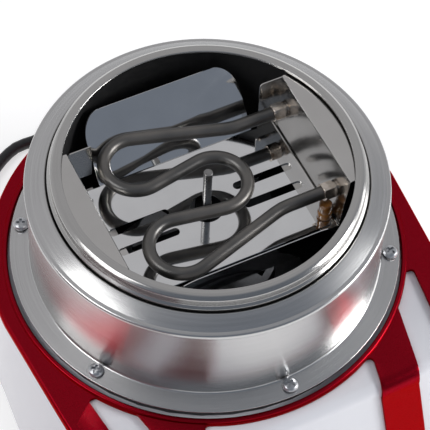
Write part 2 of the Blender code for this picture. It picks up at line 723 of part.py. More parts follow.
def heater():
    tube("heater_tube", HEATER, heater_route(), HEATER_RADIUS, 2)
    wall_x = BOX_TOP_HALF - HEATER_DROP * (BOX_TOP_HALF - BOX_FLOOR_HALF) / FLOOR_DROP
    for label, side in (("rear", 1), ("front", -1)):
        spot = HEATER_CENTRE + side * HEATER_LEAD
        turn = Matrix.Translation((0.0, spot, TOP - HEATER_DROP)) @ Matrix.Rotation(math.pi / 2, 4, "Y")
        inner_end = wall_x - FERRULE_LENGTH
        ferrule = cylinder(
            label + "_ferrule", NICKEL, FERRULE_RADIUS, inner_end, wall_x - 0.8 * MM, sides=6, turn=turn)
        sleeve = cylinder(
            label + "_ferrule_sleeve", None, FERRULE_SLEEVE, wall_x - 2 * MM, wall_x + 4.0 * MM,
            sides=16, turn=turn)
        bore = cylinder(
            label + "_ferrule_bore", None, HEATER_RADIUS + GAP, inner_end - MM, wall_x + 6 * MM, sides=16,
            turn=turn)
        boolean(ferrule, sleeve, "UNION")
        boolean(ferrule, bore)
        start = BOX_TOP_HALF + 3.0 * MM + GAP
        cylinder(
            label + "_terminal", NICKEL, TERMINAL_RADIUS, start, start + TERMINAL_LENGTH, sides=8, turn=turn)
    top = TOP - HEATER_DROP - FERRULE_RADIUS - 1.0 * MM
    sleeve_spot = (wall_x - 5.5 * MM, HEATER_CENTRE - HEATER_LEAD - 3.0 * MM)
    cylinder(
        "insulator_sleeve", AMBER, 4.0 * MM, TOP - FLOOR_DROP + GAP, top, centre=sleeve_spot, sides=10,
        top_radius=3.4 * MM)


def thermostat():
    """A snap disc under the floor plate, with its two tags."""
    level = TOP - FLOOR_DROP - THIN_SHEET - GAP
    centre = (36 * MM, 18.5 * MM)
    disc = cylinder("thermostat", FIBRE, 7 * MM, level - 7 * MM, level, centre=centre, sides=20)
    for i, side in enumerate((-1, 1)):
        low = (centre[0] + side * 4 * MM - 0.4 * MM, centre[1] - 2 * MM, level - 10.5 * MM)
        high = (centre[0] + side * 4 * MM + 0.4 * MM, centre[1] + 2 * MM, level - 6 * MM)
        boolean(disc, box(f"thermostat_tag_{i + 1}", None, low, high), "UNION")


# --- Motor, shaft and fan ----------------------------------------------------------------

def motor_shaft():
    top = TOP - SHAFT_TOP_DROP
    shaft = cylinder("motor_shaft", ZINC, SHAFT_RADIUS, SHAFT_BOTTOM, top, sides=24)
    flat = box(
        "shaft_flat", None, (SHAFT_FLAT, -5 * MM, top - 26 * MM), (5 * MM, 5 * MM, top - 4 * MM))
    return boolean(shaft, flat)


def fan():
    bore = cylinder("fan_bore", None, SHAFT_RADIUS + GAP, FAN_LEVEL - 5 * MM, FAN_LEVEL + 30 * MM, sides=24)
    hub = cylinder("cooling_fan", BLACK_PLASTIC, FAN_HUB, FAN_LEVEL, FAN_LEVEL + FAN_HEIGHT, sides=24)
    for i, angle, _ in around(FAN_BLADES, FAN_RADIUS):
        turn = Matrix.Rotation(angle, 4, "Z") @ Matrix.Translation((0, 0, FAN_LEVEL + FAN_HEIGHT / 2))
        turn = turn @ Matrix.Rotation(math.radians(32), 4, "X")
        blade = box(
            f"fan_blade_{i}", None, (FAN_HUB - 1.5 * MM, -7.5 * MM, -0.7 * MM),
            (FAN_RADIUS, 7.5 * MM, 0.7 * MM), turn=turn)
        boolean(hub, blade, "UNION")
    return boolean(hub, bore)


def motor():
    low = STATOR_BOTTOM
    high = STATOR_BOTTOM + STATOR_HEIGHT
    ring = [(STATOR_RADIUS, high), (STATOR_RADIUS, low), (STATOR_BORE, low), (STATOR_BORE, high)]
    turned("motor_stator", CORE, ring, sides=32)
    bore = SHAFT_RADIUS + GAP
    turned(
        "motor_rotor", CORE,
        [(ROTOR_RADIUS, high + MM), (ROTOR_RADIUS, low - MM), (bore, low - MM), (bore, high + MM)], sides=24)
    for name, bottom, top in (
            ("upper_winding", high + GAP, high + 7 * MM), ("lower_winding", low - 7 * MM, low - GAP)):
        turned(name, COPPER, [
            (33 * MM, top - 2 * MM), (33 * MM, bottom), (22 * MM, bottom), (22 * MM, top - 2 * MM),
            (24 * MM, top), (31 * MM, top)], sides=24)
    seat = BUSH_RADIUS + GAP
    wall = 1.2 * MM
    depth = COVER_DEPTH
    upper = high + GAP
    cap = [
        (STATOR_RADIUS, upper + depth), (STATOR_RADIUS, upper), (STATOR_RADIUS - wall, upper),
        (STATOR_RADIUS - wall, upper + depth - wall), (seat, upper + depth - wall), (seat, upper + depth)]
    turned("motor_top_cover", STEEL, cap, sides=24)
    lower = low - GAP
    cap = [
        (STATOR_RADIUS, lower), (STATOR_RADIUS, lower - depth), (seat, lower - depth),
        (seat, lower - depth + wall), (STATOR_RADIUS - wall, lower - depth + wall),
        (STATOR_RADIUS - wall, lower)]
    turned("motor_bottom_cover", STEEL, cap, sides=24)
    hole = SHAFT_RADIUS + BUSH_CLEARANCE
    flange = BUSH_RADIUS + 3 * MM
    top_face = upper + depth + GAP
    inner_face = upper + depth - wall - 2 * MM
    turned("upper_bush", BRONZE, [
        (flange, top_face + 2 * MM), (flange, top_face), (BUSH_RADIUS, top_face), (BUSH_RADIUS, inner_face),
        (hole, inner_face), (hole, top_face + 2 * MM)], sides=24)
    bottom_face = lower - depth + wall + GAP
    outer_face = lower - depth - 0.5 * MM
    turned("lower_bush", BRONZE, [
        (flange, bottom_face + 2 * MM), (flange, bottom_face), (BUSH_RADIUS, bottom_face),
        (BUSH_RADIUS, outer_face),
        (hole, outer_face), (hole, bottom_face + 2 * MM)], sides=24)


def motor_mount():
    """A plate under the motor on three posts, with a screw down into each post."""
    spots = [spot for _, _, spot in around(3, POST_CIRCLE, 30.0)]
    top = STATOR_BOTTOM - GAP - COVER_DEPTH - GAP
    plate = cylinder("motor_mount", STEEL, POST_CIRCLE + 8 * MM, top - MOUNT_THICK, top, sides=48)
    boolean(plate, cylinder("mount_hole", None, 12 * MM, top - 10 * MM, top + 10 * MM, sides=24))
    clear = SCREW_RADIUS + SCREW_CLEARANCE
    holes = screw_holes("mount_screw_holes", clear, spots, top - 10 * MM, top + 10 * MM)
    boolean(plate, holes)
    for i, spot in enumerate(spots):
        screw(
            f"mount_screw_{i + 1}", ZINC, spot, top + GAP, SCREW_HEAD, SCREW_HEAD_HEIGHT, SCREW_RADIUS,
            10 * MM, turn=0.5 * i)
    return spots, top - MOUNT_THICK - GAP


# --- Base, feet and posts ----------------------------------------------------------------

def base_plate(posts, post_top):
    """The closing plate inside the body's bottom edge, with posts and air slots."""
    outline = []
    for i in range(SHELL_SIDES):
        angle = 2 * math.pi * i / SHELL_SIDES
        radius = base_line(angle) - body_inset - BODY_THICK - 1.2 * MM
        outline.append((radius * math.cos(angle), radius * math.sin(angle)))
    low = FOOT_HEIGHT
    high = FOOT_HEIGHT + BASE_THICK
    plate = prism("base_plate", BLACK_PLASTIC, outline, low, high)
    for i, spot in enumerate(posts):
        post = cylinder(f"post_{i + 1}", None, POST_RADIUS, high - MM, post_top, centre=spot, sides=16)
        boolean(plate, post, "UNION")
    holes = screw_holes(
        "post_holes", SCREW_RADIUS + 0.3 * MM, posts, post_top - 11 * MM, post_top + 5 * MM)
    boolean(plate, holes)
    for i in range(5):
        spot = (i - 2) * 9 * MM
        slot = round_box(24 * MM, 2 * MM, 1.9 * MM, 3, (0.0, spot))
        boolean(plate, prism(f"base_slot_{i + 1}", None, slot, low - 5 * MM, high + 5 * MM))
    for i, (x, y) in enumerate(foot_spots()):
        name = f"foot_hole_{i + 1}"
        peg = cylinder(name, None, 3.4 * MM, low - 5 * MM, high + 5 * MM, centre=(x, y), sides=16)
        boolean(plate, peg)
    return plate


def foot_spots():
    return [(-FOOT_X, -FOOT_FRONT), (FOOT_X, -FOOT_FRONT), (FOOT_X, FOOT_BACK), (-FOOT_X, FOOT_BACK)]


def feet():
    names = ("front_left_foot", "front_right_foot", "rear_right_foot", "rear_left_foot")
    for name, spot in zip(names, foot_spots()):
        peg = 3.0 * MM
        foot = turned(name, RUBBER, [
            (0.0, FOOT_HEIGHT + BASE_THICK + 2 * MM), (peg, FOOT_HEIGHT + BASE_THICK + 2 * MM),
            (peg, FOOT_HEIGHT - GAP), (FOOT_RADIUS, FOOT_HEIGHT - GAP), (FOOT_RADIUS - 1.0 * MM, 0.8 * MM),
            (FOOT_RADIUS - 1.8 * MM, 0.0), (0.0, 0.0)], closed=False, sides=16)
        foot.location = (*spot, 0.0)


# --- Power switch ------------------------------------------------------------------------

def power_switch(body):
    """A rocker switch square to the front of the body."""
    front = -math.pi / 2
    top = DECK - bend_radius(front)
    run = (top - SWITCH_HEIGHT) / (top - FOOT_HEIGHT)
    reach = shoulder(front) - body_inset + (base_line(front) - shoulder(front)) * run
    slope = math.atan2(base_line(front) - shoulder(front), top - FOOT_HEIGHT)
    frame = bpy.data.objects.new("switch_frame", None)
    parts.objects.link(frame)
    frame.parent = axis
    frame.location = (0.0, -reach, SWITCH_HEIGHT)
    frame.rotation_euler = (-slope, 0.0, 0.0)
    half_w, half_h = BEZEL_WIDTH / 2, BEZEL_HEIGHT / 2
    clear = 0.6 * MM
    body_w, body_h = half_w - 1.5 * MM, half_h - 1.5 * MM
    bezel = prism(
        "switch_bezel", BLACK_PLASTIC, round_box(half_w, half_h, 2 * MM), -BEZEL_PROUD, -GAP, "XZ", frame)
    boolean(bezel, prism(
        "switch_housing", None, round_box(body_w, body_h, MM), -0.5 * MM - GAP, 16 * MM, "XZ",
        frame), "UNION")
    pocket = round_box(ROCKER_WIDTH / 2 + clear, ROCKER_HEIGHT / 2 + clear, 0.8 * MM)
    boolean(bezel, prism("switch_pocket", None, pocket, -10 * MM, 9 * MM, "XZ", frame))
    hole = round_box(body_w + GAP, body_h + GAP, MM)
    boolean(body, prism("switch_hole", None, hole, -12 * MM, 12 * MM, "XZ", frame))
    high = ROCKER_HEIGHT / 2
    face = 2.6 * MM
    outline = [
        (3.0 * MM, -high), (3.0 * MM, high), (-BEZEL_PROUD - face, high),
        (-BEZEL_PROUD - 0.7 * MM, 0.0), (-BEZEL_PROUD - face, -high)]
    rocker = prism("rocker", BLACK_PLASTIC, outline, -ROCKER_WIDTH / 2, ROCKER_WIDTH / 2, "YZ", frame)
    rocker.rotation_euler = (ROCKER_TILT, 0.0, 0.0)
    return frame


# --- Wiring ------------------------------------------------------------------------------

def terminal_block():
    """The block that joins the cord to the motor, switch and heater leads."""
    low = (38 * MM, 60 * MM, FOOT_HEIGHT + BASE_THICK + GAP)
    high = (66 * MM, 74 * MM, FOOT_HEIGHT + BASE_THICK + 13 * MM)
    block = box("terminal_block", WHITE, low, high)
    for i in range(3):
        spot = (low[0] + (5 + 9 * i) * MM, (low[1] + high[1]) / 2)
        boolean(block, cylinder(
            f"terminal_well_{i + 1}", None, 2.4 * MM, high[2] - 4 * MM, high[2] + 5 * MM, centre=spot,
            sides=12))
    return block


def smooth_route(points, count):
    """A smooth curve through hand-set points, read at even steps of its length."""
    spots = [Vector(p) for p in points]
    ends = [2 * spots[0] - spots[1]] + spots + [2 * spots[-1] - spots[-2]]
    fine = []
    for a, b, c, d in zip(ends, ends[1:], ends[2:], ends[3:]):
        for i in range(16):
            t = i / 16
            fine.append(0.5 * (2 * b + (c - a) * t + (2 * a - 5 * b + 4 * c - d) * t ** 2
                               + (3 * b - a - 3 * c + d) * t ** 3))
    fine.append(spots[-1])
    lengths = [0.0]
    for a, b in zip(fine, fine[1:]):
        lengths.append(lengths[-1] + (b - a).length)
    route = []
    for i in range(count):
        goal = lengths[-1] * i / (count - 1)
        k = next(j for j in range(1, len(fine)) if lengths[j] >= goal - 1e-9)
        share = (goal - lengths[k - 1]) / max(lengths[k] - lengths[k - 1], 1e-9)
        route.append(fine[k - 1].lerp(fine[k], share))
    return route


exit_angle = math.acos(EXIT_X / (BASE_SIDE - body_inset))
exit_way = Vector((math.cos(exit_angle), math.sin(exit_angle), 0.0))


def wall_radius(height):
    """The white body's outer radius behind, at one height."""
    bend = BEND_SIDE
    run = (DECK - bend - height) / (DECK - bend - FOOT_HEIGHT)
    return SHOULDER_SIDE - body_inset + (BASE_SIDE - SHOULDER_SIDE) * run


def exit_frame():
    return Matrix.Rotation(exit_angle, 4, "Z") @ Matrix.Rotation(math.pi / 2, 4, "Y")


def strain_relief(body, cover):
    """A tapered rubber sleeve through the back wall, with a flange on each side of it."""
    widest = max(wall_radius(EXIT_HEIGHT - 6 * MM), wall_radius(EXIT_HEIGHT + 7.2 * MM))
    outside = widest + body_inset + GAP + 0.6 * MM
    turn = Matrix.Translation((0, 0, EXIT_HEIGHT)) @ exit_frame()
    relief = cylinder(
        "strain_relief", RUBBER, 7.0 * MM, outside, outside + 2.5 * MM, sides=20, turn=turn)
    boolean(relief, cylinder(
        "relief_taper", None, 6.0 * MM, outside + 2 * MM, outside + RELIEF_LENGTH, sides=20,
        top_radius=4.6 * MM, turn=turn), "UNION")
    boolean(relief, cylinder(
        "relief_neck", None, 5.0 * MM, outside - 12 * MM, outside + MM, sides=20, turn=turn), "UNION")
    boolean(relief, cylinder(
        "relief_bore", None, CORD_RADIUS + 2 * GAP, outside - 20 * MM, outside + RELIEF_LENGTH + 10 * MM,
        sides=20, turn=turn))
    hole = cylinder("relief_hole", None, 5.4 * MM, outside - 30 * MM, outside + 10 * MM, sides=20, turn=turn)
    boolean(body, hole)
    boolean(cover, hole)
    return outside


def power_cord(outside):
    """The free cord: out of the relief, down to the table, round behind to a coil and its plug."""
    level = CORD_RADIUS + 0.1 * MM
    start = exit_way * (outside - 10 * MM) + Vector((0, 0, EXIT_HEIGHT))
    middle = exit_way * (outside + 8 * MM) + Vector((0, 0, EXIT_HEIGHT))
    straight = exit_way * (outside + RELIEF_LENGTH + 1 * MM) + Vector((0, 0, EXIT_HEIGHT))
    laid = [(x * MM, y * MM, z * MM) for x, y, z in CORD_POINTS]
    route = smooth_route([start, middle, straight] + laid, 38)
    tube("power_cord", BLACK_PLASTIC, [tuple(p) for p in route], CORD_RADIUS, 2)
    width = 2 * CORD_RADIUS
    coil = turned("cord_coil", BLACK_PLASTIC, [
        (COIL_TURN + width, 4 * CORD_RADIUS), (COIL_TURN + width, 0.05 * MM), (COIL_TURN - width, 0.05 * MM),
        (COIL_TURN - width, 4 * CORD_RADIUS)], sides=40)
    coil.location = (*COIL_CENTRE, 0.0)
    tail = [(x * MM, y * MM, z * MM) for x, y, z in TAIL_POINTS]
    tube("cord_tail", BLACK_PLASTIC, [tuple(p) for p in smooth_route(tail, 12)], CORD_RADIUS, 2)


# Points that the cord passes through after the strain relief, in millimetres from the collar axis
CORD_POINTS = [
    (45.5, 158.0, 20.0), (41.0, 171.0, 10.0), (29.0, 176.0, 4.5), (14.0, 173.0, 3.6), (-2.0, 165.0, 3.6),
    (-20.0, 157.0, 3.6), (-38.0, 154.2, 3.6), (-48.0, 154.4, 3.6), (-56.0, 151.9, 3.6), (-64.0, 147.2, 3.6),
    (-73.5, 139.8, 3.6), (-82.0, 131.6, 3.6), (-90.0, 125.8, 3.6), (-98.5, 121.8, 3.6)]
TAIL_POINTS = [(-151.1, 133.2, 3.6), (-161.5, 142.0, 3.6), (-169.5, 153.5, 3.6), (-172.0, 167.0, 3.6)]


def plug():
    """A plain two-blade plug lying beside the coil."""
    end = Vector((*TAIL_POINTS[-1][:2], 0.0)) * MM
    before = Vector((*TAIL_POINTS[-2][:2], 0.0)) * MM
    way = (end - before).normalized()
    turn = Matrix.Translation((end.x, end.y, 0.0)) @ Matrix.Rotation(math.atan2(way.y, way.x), 4, "Z")
    half_w, half_h = 11 * MM, 7.5 * MM
    outline = [
        (GAP, -5 * MM), (10 * MM, -half_w), (32 * MM, -half_w), (32 * MM, half_w), (10 * MM, half_w),
        (GAP, 5 * MM)]
    body = prism("plug_body", BLACK_PLASTIC, outline, 0.05 * MM, 2 * half_h)
    body.matrix_local = turn
    for i, side in enumerate((-1, 1)):
        blade = box(
            f"plug_blade_{i + 1}", NICKEL, (32 * MM + GAP, side * 6.35 * MM - 0.75 * MM, half_h - 3.1 * MM),
            (49 * MM, side * 6.35 * MM + 0.75 * MM, half_h + 3.1 * MM))
        blade.matrix_local = turn


# --- Origin ------------------------------------------------------------------------------

CORD_PIECES = {
    "strain_relief", "power_cord", "cord_coil", "cord_tail", "plug_body", "plug_blade_1", "plug_blade_2"}


def centre_machine():
    """Puts the origin under the middle of the machine, the cord and its plug left out."""
    graph = bpy.context.evaluated_depsgraph_get()
    graph.update()
    spots = []
    for piece in parts.objects:
        if piece.type == "EMPTY" or piece.name in CORD_PIECES:
            continue
        whole = piece.evaluated_get(graph)
        mesh = whole.to_mesh()
        spots += [whole.matrix_world @ corner.co for corner in mesh.vertices]
        whole.to_mesh_clear()
    middle = [(min(s[i] for s in spots) + max(s[i] for s in spots)) / 2 for i in range(2)]
    axis.location = (-middle[0], -middle[1], 0.0)
    print(f"collar axis at {-middle[0] / MM:.4f}, {-middle[1] / MM:.4f} mm")


# --- Build -------------------------------------------------------------------------------

cover = red_cover()
body = white_body()
collar()
lip_ring()
drum()
spacer_ring()
collar_screws()
side_wall("left_reflector", -1)
side_wall("right_reflector", 1)
reflector_floor()
mirror_plate("rear_mirror", 1, *REAR_MIRROR)
mirror_plate("front_mirror", -1, *FRONT_MIRROR)
heater()
thermostat()
motor_shaft()
fan()
motor()
post_spots, post_top = motor_mount()
base_plate(post_spots, post_top)
feet()
power_switch(body)
terminal_block()
relief_start = strain_relief(body, cover)
power_cord(relief_start)
plug()
centre_machine()
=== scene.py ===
# %% [markdown]
# # The base of a popcorn maker
# The machine is a red cover over a white body, with a spun steel collar around an open well.
# In the well a serpentine heater lies over a box of mirror sheet. This lesson builds the
# visible skin of each piece around a fixed frame of plain solids. The frame says where every
# piece goes, so the first step loads it and keeps the size of its box.

# %% Load the frame
import math
import bpy
import bmesh
from mathutils import Matrix, Vector

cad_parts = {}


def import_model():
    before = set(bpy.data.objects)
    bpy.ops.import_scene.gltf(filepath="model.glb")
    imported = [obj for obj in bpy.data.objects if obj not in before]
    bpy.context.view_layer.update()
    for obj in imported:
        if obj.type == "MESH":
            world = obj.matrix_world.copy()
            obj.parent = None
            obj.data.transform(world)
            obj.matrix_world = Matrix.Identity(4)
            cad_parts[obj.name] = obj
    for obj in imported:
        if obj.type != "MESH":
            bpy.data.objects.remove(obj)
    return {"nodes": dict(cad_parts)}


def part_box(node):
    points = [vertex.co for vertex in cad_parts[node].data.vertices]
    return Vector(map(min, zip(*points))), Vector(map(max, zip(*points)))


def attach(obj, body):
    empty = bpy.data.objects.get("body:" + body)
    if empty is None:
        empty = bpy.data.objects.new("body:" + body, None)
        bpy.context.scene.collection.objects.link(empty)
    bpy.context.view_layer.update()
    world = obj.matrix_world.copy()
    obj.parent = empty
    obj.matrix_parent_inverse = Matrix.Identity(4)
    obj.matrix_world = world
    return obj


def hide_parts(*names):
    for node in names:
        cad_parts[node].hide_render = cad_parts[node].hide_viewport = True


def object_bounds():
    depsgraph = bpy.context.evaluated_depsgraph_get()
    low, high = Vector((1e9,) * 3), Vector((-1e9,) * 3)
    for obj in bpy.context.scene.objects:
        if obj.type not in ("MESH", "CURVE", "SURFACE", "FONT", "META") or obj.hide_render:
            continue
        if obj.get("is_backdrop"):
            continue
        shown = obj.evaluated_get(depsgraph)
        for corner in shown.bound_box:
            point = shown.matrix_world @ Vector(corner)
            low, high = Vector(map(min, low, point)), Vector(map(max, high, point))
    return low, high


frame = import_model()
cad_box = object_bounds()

MM = 0.001


def put(name, data, place_at=None):
    """Adds an object to the scene and sets it down at its place."""
    thing = bpy.data.objects.new(name, data)
    thing.matrix_world = place_at or Matrix.Identity(4)
    bpy.context.scene.collection.objects.link(thing)
    return thing


def mesh_of(name, bm):
    mesh = bpy.data.meshes.new(name)
    bm.to_mesh(mesh)
    bm.free()
    return mesh


collar_low, collar_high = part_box("collar")
AXIS_Y = (collar_low.y + collar_high.y) / 2
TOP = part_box("lip_ring")[1].z
DECK = TOP - 73.3 * MM
print(f"the collar stands {AXIS_Y / MM:.2f} mm behind the origin and is {TOP / MM:.1f} mm high")

# %% [markdown]
# ## Camera
# The machine is seen from its front left, from high above, through a long lens, so that its
# circles stay nearly true ellipses. A camera could be aimed with a Track To constraint. Here
# its three axes are written out, because the roll is then one turn: a camera looks along its
# own -Z, so the axes point to the right, up, and back towards the viewer.

# %% Camera
SIGHT = Vector((-0.2720, -0.5008, 0.8217)).normalized()
ROLL = math.radians(3.06)
CAMERA_PLACE = Vector((-0.2553, AXIS_Y - 0.4796, TOP + 0.7392))
FOCAL_LENGTH = 152.07       # on a sensor 36 wide


def make_camera():
    level = Vector((-SIGHT.y, SIGHT.x, 0.0)).normalized()
    lift = SIGHT.cross(level)
    right = level * math.cos(ROLL) + lift * math.sin(ROLL)
    up = lift * math.cos(ROLL) - level * math.sin(ROLL)
    data = bpy.data.cameras.new("camera")
    data.lens = FOCAL_LENGTH
    data.sensor_width = 36.0
    data.clip_start = 0.05
    data.clip_end = 20.0
    facing = Matrix((right, up, SIGHT)).transposed().to_4x4()
    bpy.context.scene.camera = put("camera", data, Matrix.Translation(CAMERA_PLACE) @ facing)


make_camera()
print("the camera stands at", [round(c, 3) for c in CAMERA_PLACE])

# %% [markdown]
# ## Finishes as sums
# A finish is a small network of nodes. Written node by node it is long and hard to read, so a
# socket is wrapped in a class that knows plus, minus, times and power. An expression such as
# `0.3 + 0.1 * grain` then adds the Math nodes it needs. Everything else comes from one method
# that takes a node's type, its settings and its inputs.

# %% Sockets that can be added up
class Value:
    """An output socket that stands in an expression as a number does."""

    def __init__(self, finish, socket):
        self.finish = finish
        self.socket = socket

    def sum(self, operation, *others):
        sockets = dict(enumerate(others))
        return self.finish.node("ShaderNodeMath", {"operation": operation}, sockets)

    def __add__(self, other):
        return self.sum("ADD", self, other)

    def __sub__(self, other):
        return self.sum("SUBTRACT", self, other)

    def __rsub__(self, other):
        return self.sum("SUBTRACT", other, self)

    def __mul__(self, other):
        return self.sum("MULTIPLY", self, other)

    def __truediv__(self, other):
        return self.sum("DIVIDE", self, other)

    def __pow__(self, other):
        return self.sum("POWER", self, other)

    __radd__ = __add__
    __rmul__ = __mul__


class Finish:
    """A material whose nodes are added one call at a time."""

    def __init__(self, name):
        self.material = bpy.data.materials.new(name)
        self.material.use_nodes = True
        self.tree = self.material.node_tree
        self.shader = self.tree.nodes["Principled BSDF"]

    def node(self, kind, settings=None, inputs=None, output=0):
        node = self.tree.nodes.new(kind)
        for name, value in (settings or {}).items():
            if name == "stops":
                self.set_stops(node.color_ramp, value)
            else:
                setattr(node, name, value)
        for name, value in (inputs or {}).items():
            self.feed(node.inputs[name], value)
        return Value(self, node.outputs[output])

    def set_stops(self, ramp, stops):
        while len(ramp.elements) < len(stops):
            ramp.elements.new(0.5)
        for element, (place, colour) in zip(ramp.elements, stops):
            element.position = place
            element.color = (*colour, 1.0)

    def feed(self, socket, value):
        if isinstance(value, Value):
            self.tree.links.new(value.socket, socket)
        elif hasattr(value, "__len__") and len(value) == 3 and len(socket.default_value) == 4:
            socket.default_value = (*value, 1.0)
        else:
            socket.default_value = value

    def surface(self, **values):
        for name, value in values.items():
            self.feed(self.shader.inputs[name.replace("_", " ").title()], value)
        return self.material


print("a Value takes + - * / and **, and a Finish adds any other node")

# %% [markdown]
# ## Patterns that every finish shares
# Real surfaces are never quite even. Noise in the object's own coordinates gives cloudy
# changes that stay put when the piece moves. Spun metal has grain that runs in rings, so its
# noise reads two numbers: how far along the profile a point is, and its heading, which
# changes slowly. Splitting the heading into its two parts keeps the pattern free of a seam.

# %% Noise, rings and bumps
def place(finish):
    return finish.node("ShaderNodeTexCoord", output="Object")


def cloud(finish, scale, detail=2.0, vector=None):
    """Soft noise from 0 to 1, with so many patches to the metre."""
    inputs = {"Vector": vector or place(finish), "Scale": scale, "Detail": detail}
    return finish.node("ShaderNodeTexNoise", {}, inputs)


def grade(finish, factor, low, high, start=0.3, end=0.7):
    """A colour that goes from low to high as the factor goes from start to end."""
    stops = [(start, low), (end, high)]
    return finish.node("ShaderNodeValToRGB", {"stops": stops}, {"Fac": factor})


def bump(finish, height, strength, depth):
    inputs = {"Height": height, "Strength": strength, "Distance": depth}
    return finish.node("ShaderNodeBump", {}, inputs)


def parts(finish, vector):
    """The X, Y and Z of a vector as three values."""
    node = finish.node("ShaderNodeSeparateXYZ", {}, {"Vector": vector}).socket.node
    return [Value(finish, socket) for socket in node.outputs]


def ring_grain(finish, pitch, wander=1.5):
    """Fine lines that run round the object's Z axis."""
    x, y, z = parts(finish, place(finish))
    radius = (x * x + y * y) ** 0.5
    along = (radius + z) * (1 / pitch)
    heading = {"X": along, "Y": x / radius * wander, "Z": y / radius * wander}
    return cloud(finish, 1.0, 3.0, finish.node("ShaderNodeCombineXYZ", {}, heading))


print("patterns: cloud, grade, bump and ring_grain")


# %% [markdown]
# ## Steel finishes
# Three kinds of bare steel sit next to each other here. The collar is spun: a satin surface
# with ring grain, whose reflections smear up and down the neck. The reflector is mirror
# sheet, which is only a little cloudy and a little wavy. The heater's sheath is dark, because
# it has been hot, with bronze patches.

# %% Steel finishes
def spun_steel(name, shade, polish, pitch):
    """Satin steel with ring grain; polish is its roughness."""
    finish = Finish(name)
    grain = ring_grain(finish, pitch)
    stain = cloud(finish, 30.0)
    low = tuple(0.86 * c for c in shade)
    colour = grade(finish, grain * 0.75 + stain * 0.25, low, shade)
    return finish.surface(
        base_color=colour, metallic=1.0, roughness=polish + 0.08 * (grain - 0.5),
        anisotropic=0.55, anisotropic_rotation=0.25, normal=bump(finish, grain, 0.05, 0.05 * MM))


def mirror_sheet(name, shade, haze):
    finish = Finish(name)
    smudge = cloud(finish, 55.0, 4.0)
    wave = cloud(finish, 14.0, 1.0)
    colour = grade(finish, smudge, tuple(0.93 * c for c in shade), shade)
    return finish.surface(
        base_color=colour, metallic=1.0, roughness=haze + 0.07 * smudge ** 2.0,
        normal=bump(finish, wave, 0.35, 1.2 * MM))


def heater_sheath():
    finish = Finish("heater_sheath")
    patch = cloud(finish, 38.0, 3.0)
    speck = cloud(finish, 1400.0, 2.0)
    colour = grade(finish, patch, (0.125, 0.122, 0.118), (0.205, 0.192, 0.178), 0.35, 0.68)
    return finish.surface(
        base_color=colour, metallic=0.9, roughness=0.30 + 0.16 * patch,
        normal=bump(finish, speck, 0.16, 0.06 * MM))


def plated(name, shade, polish):
    """Small plated pieces: bright, with a slightly uneven polish."""
    finish = Finish(name)
    wear = cloud(finish, 420.0, 3.0)
    colour = grade(finish, wear, tuple(0.84 * c for c in shade), shade)
    return finish.surface(
        base_color=colour, metallic=1.0, roughness=polish + 0.14 * wear,
        normal=bump(finish, wear, 0.08, 0.05 * MM))


COLLAR_STEEL = spun_steel("collar_steel", (0.62, 0.615, 0.61), 0.25, 0.45 * MM)
LIP_STEEL = spun_steel("lip_steel", (0.55, 0.54, 0.525), 0.20, 0.35 * MM)
MIRROR = mirror_sheet("mirror_sheet", (0.80, 0.80, 0.80), 0.03)
SATIN_SHEET = mirror_sheet("satin_sheet", (0.60, 0.585, 0.565), 0.16)
SHEATH = heater_sheath()
NICKEL = plated("warm_nickel", (0.72, 0.64, 0.56), 0.16)
ZINC = plated("bright_zinc", (0.60, 0.61, 0.63), 0.24)
DARK_SHAFT = plated("ground_steel", (0.30, 0.295, 0.29), 0.22)
BRASS = plated("plated_brass", (0.74, 0.66, 0.48), 0.16)
BRONZE = plated("sintered_bronze", (0.50, 0.33, 0.16), 0.38)
print(len(bpy.data.materials), "finishes so far")

# %% [markdown]
# ## Coloured finishes
# The cover is moulded plastic with a clear coat over a red that holds fine metal flakes: a
# metallic base with tiny changes from flake to flake, and a smooth coat that gives sharp
# reflections on top of soft ones. The white body is plain gloss plastic. Black plastic has a
# fine grain, and rubber is darker in its hollows.

# %% Coloured finishes
def flake_red():
    finish = Finish("flake_red")
    flake = cloud(finish, 2600.0, 1.0)
    tone = cloud(finish, 9.0, 1.0)
    deep, bright = (0.245, 0.0020, 0.0080), (0.370, 0.0040, 0.0160)
    return finish.surface(
        base_color=grade(finish, flake * 0.8 + tone * 0.2, deep, bright), metallic=1.0,
        roughness=0.24 + 0.10 * flake, coat_weight=0.05, coat_roughness=0.03,
        specular_tint=(0.90, 0.06, 0.10), normal=bump(finish, flake, 0.05, 0.04 * MM))


def gloss_white():
    finish = Finish("gloss_white")
    tone = cloud(finish, 12.0, 1.0)
    peel = cloud(finish, 650.0, 2.0)
    colour = grade(finish, tone, (0.755, 0.755, 0.800), (0.800, 0.800, 0.835))
    return finish.surface(
        base_color=colour, roughness=0.17 + 0.06 * peel, coat_weight=0.5, coat_roughness=0.05,
        normal=bump(finish, peel, 0.03, 0.05 * MM))


def grained(name, low, high, polish, scale, depth):
    """Plastic, rubber, or the near-black can whose colour is painted shade, with a fine grain."""
    finish = Finish(name)
    grain = cloud(finish, scale, 3.0)
    return finish.surface(
        base_color=grade(finish, grain, low, high), roughness=polish + 0.15 * grain,
        normal=bump(finish, grain, 0.30, depth))


def glazed_amber():
    finish = Finish("glazed_amber")
    cast = cloud(finish, 160.0, 3.0)
    colour = grade(finish, cast, (0.16, 0.055, 0.012), (0.46, 0.20, 0.045), 0.38, 0.66)
    return finish.surface(
        base_color=colour, roughness=0.16 + 0.10 * cast, coat_weight=0.8, coat_roughness=0.05)


def wound_copper():
    """Enamelled wire, seen as fine turns side by side."""
    finish = Finish("wound_copper")
    grain = ring_grain(finish, 0.9 * MM, 0.4)
    colour = grade(finish, grain, (0.22, 0.06, 0.02), (0.66, 0.26, 0.10))
    return finish.surface(
        base_color=colour, metallic=0.8, roughness=0.30 + 0.10 * grain,
        normal=bump(finish, grain, 0.5, 0.3 * MM))


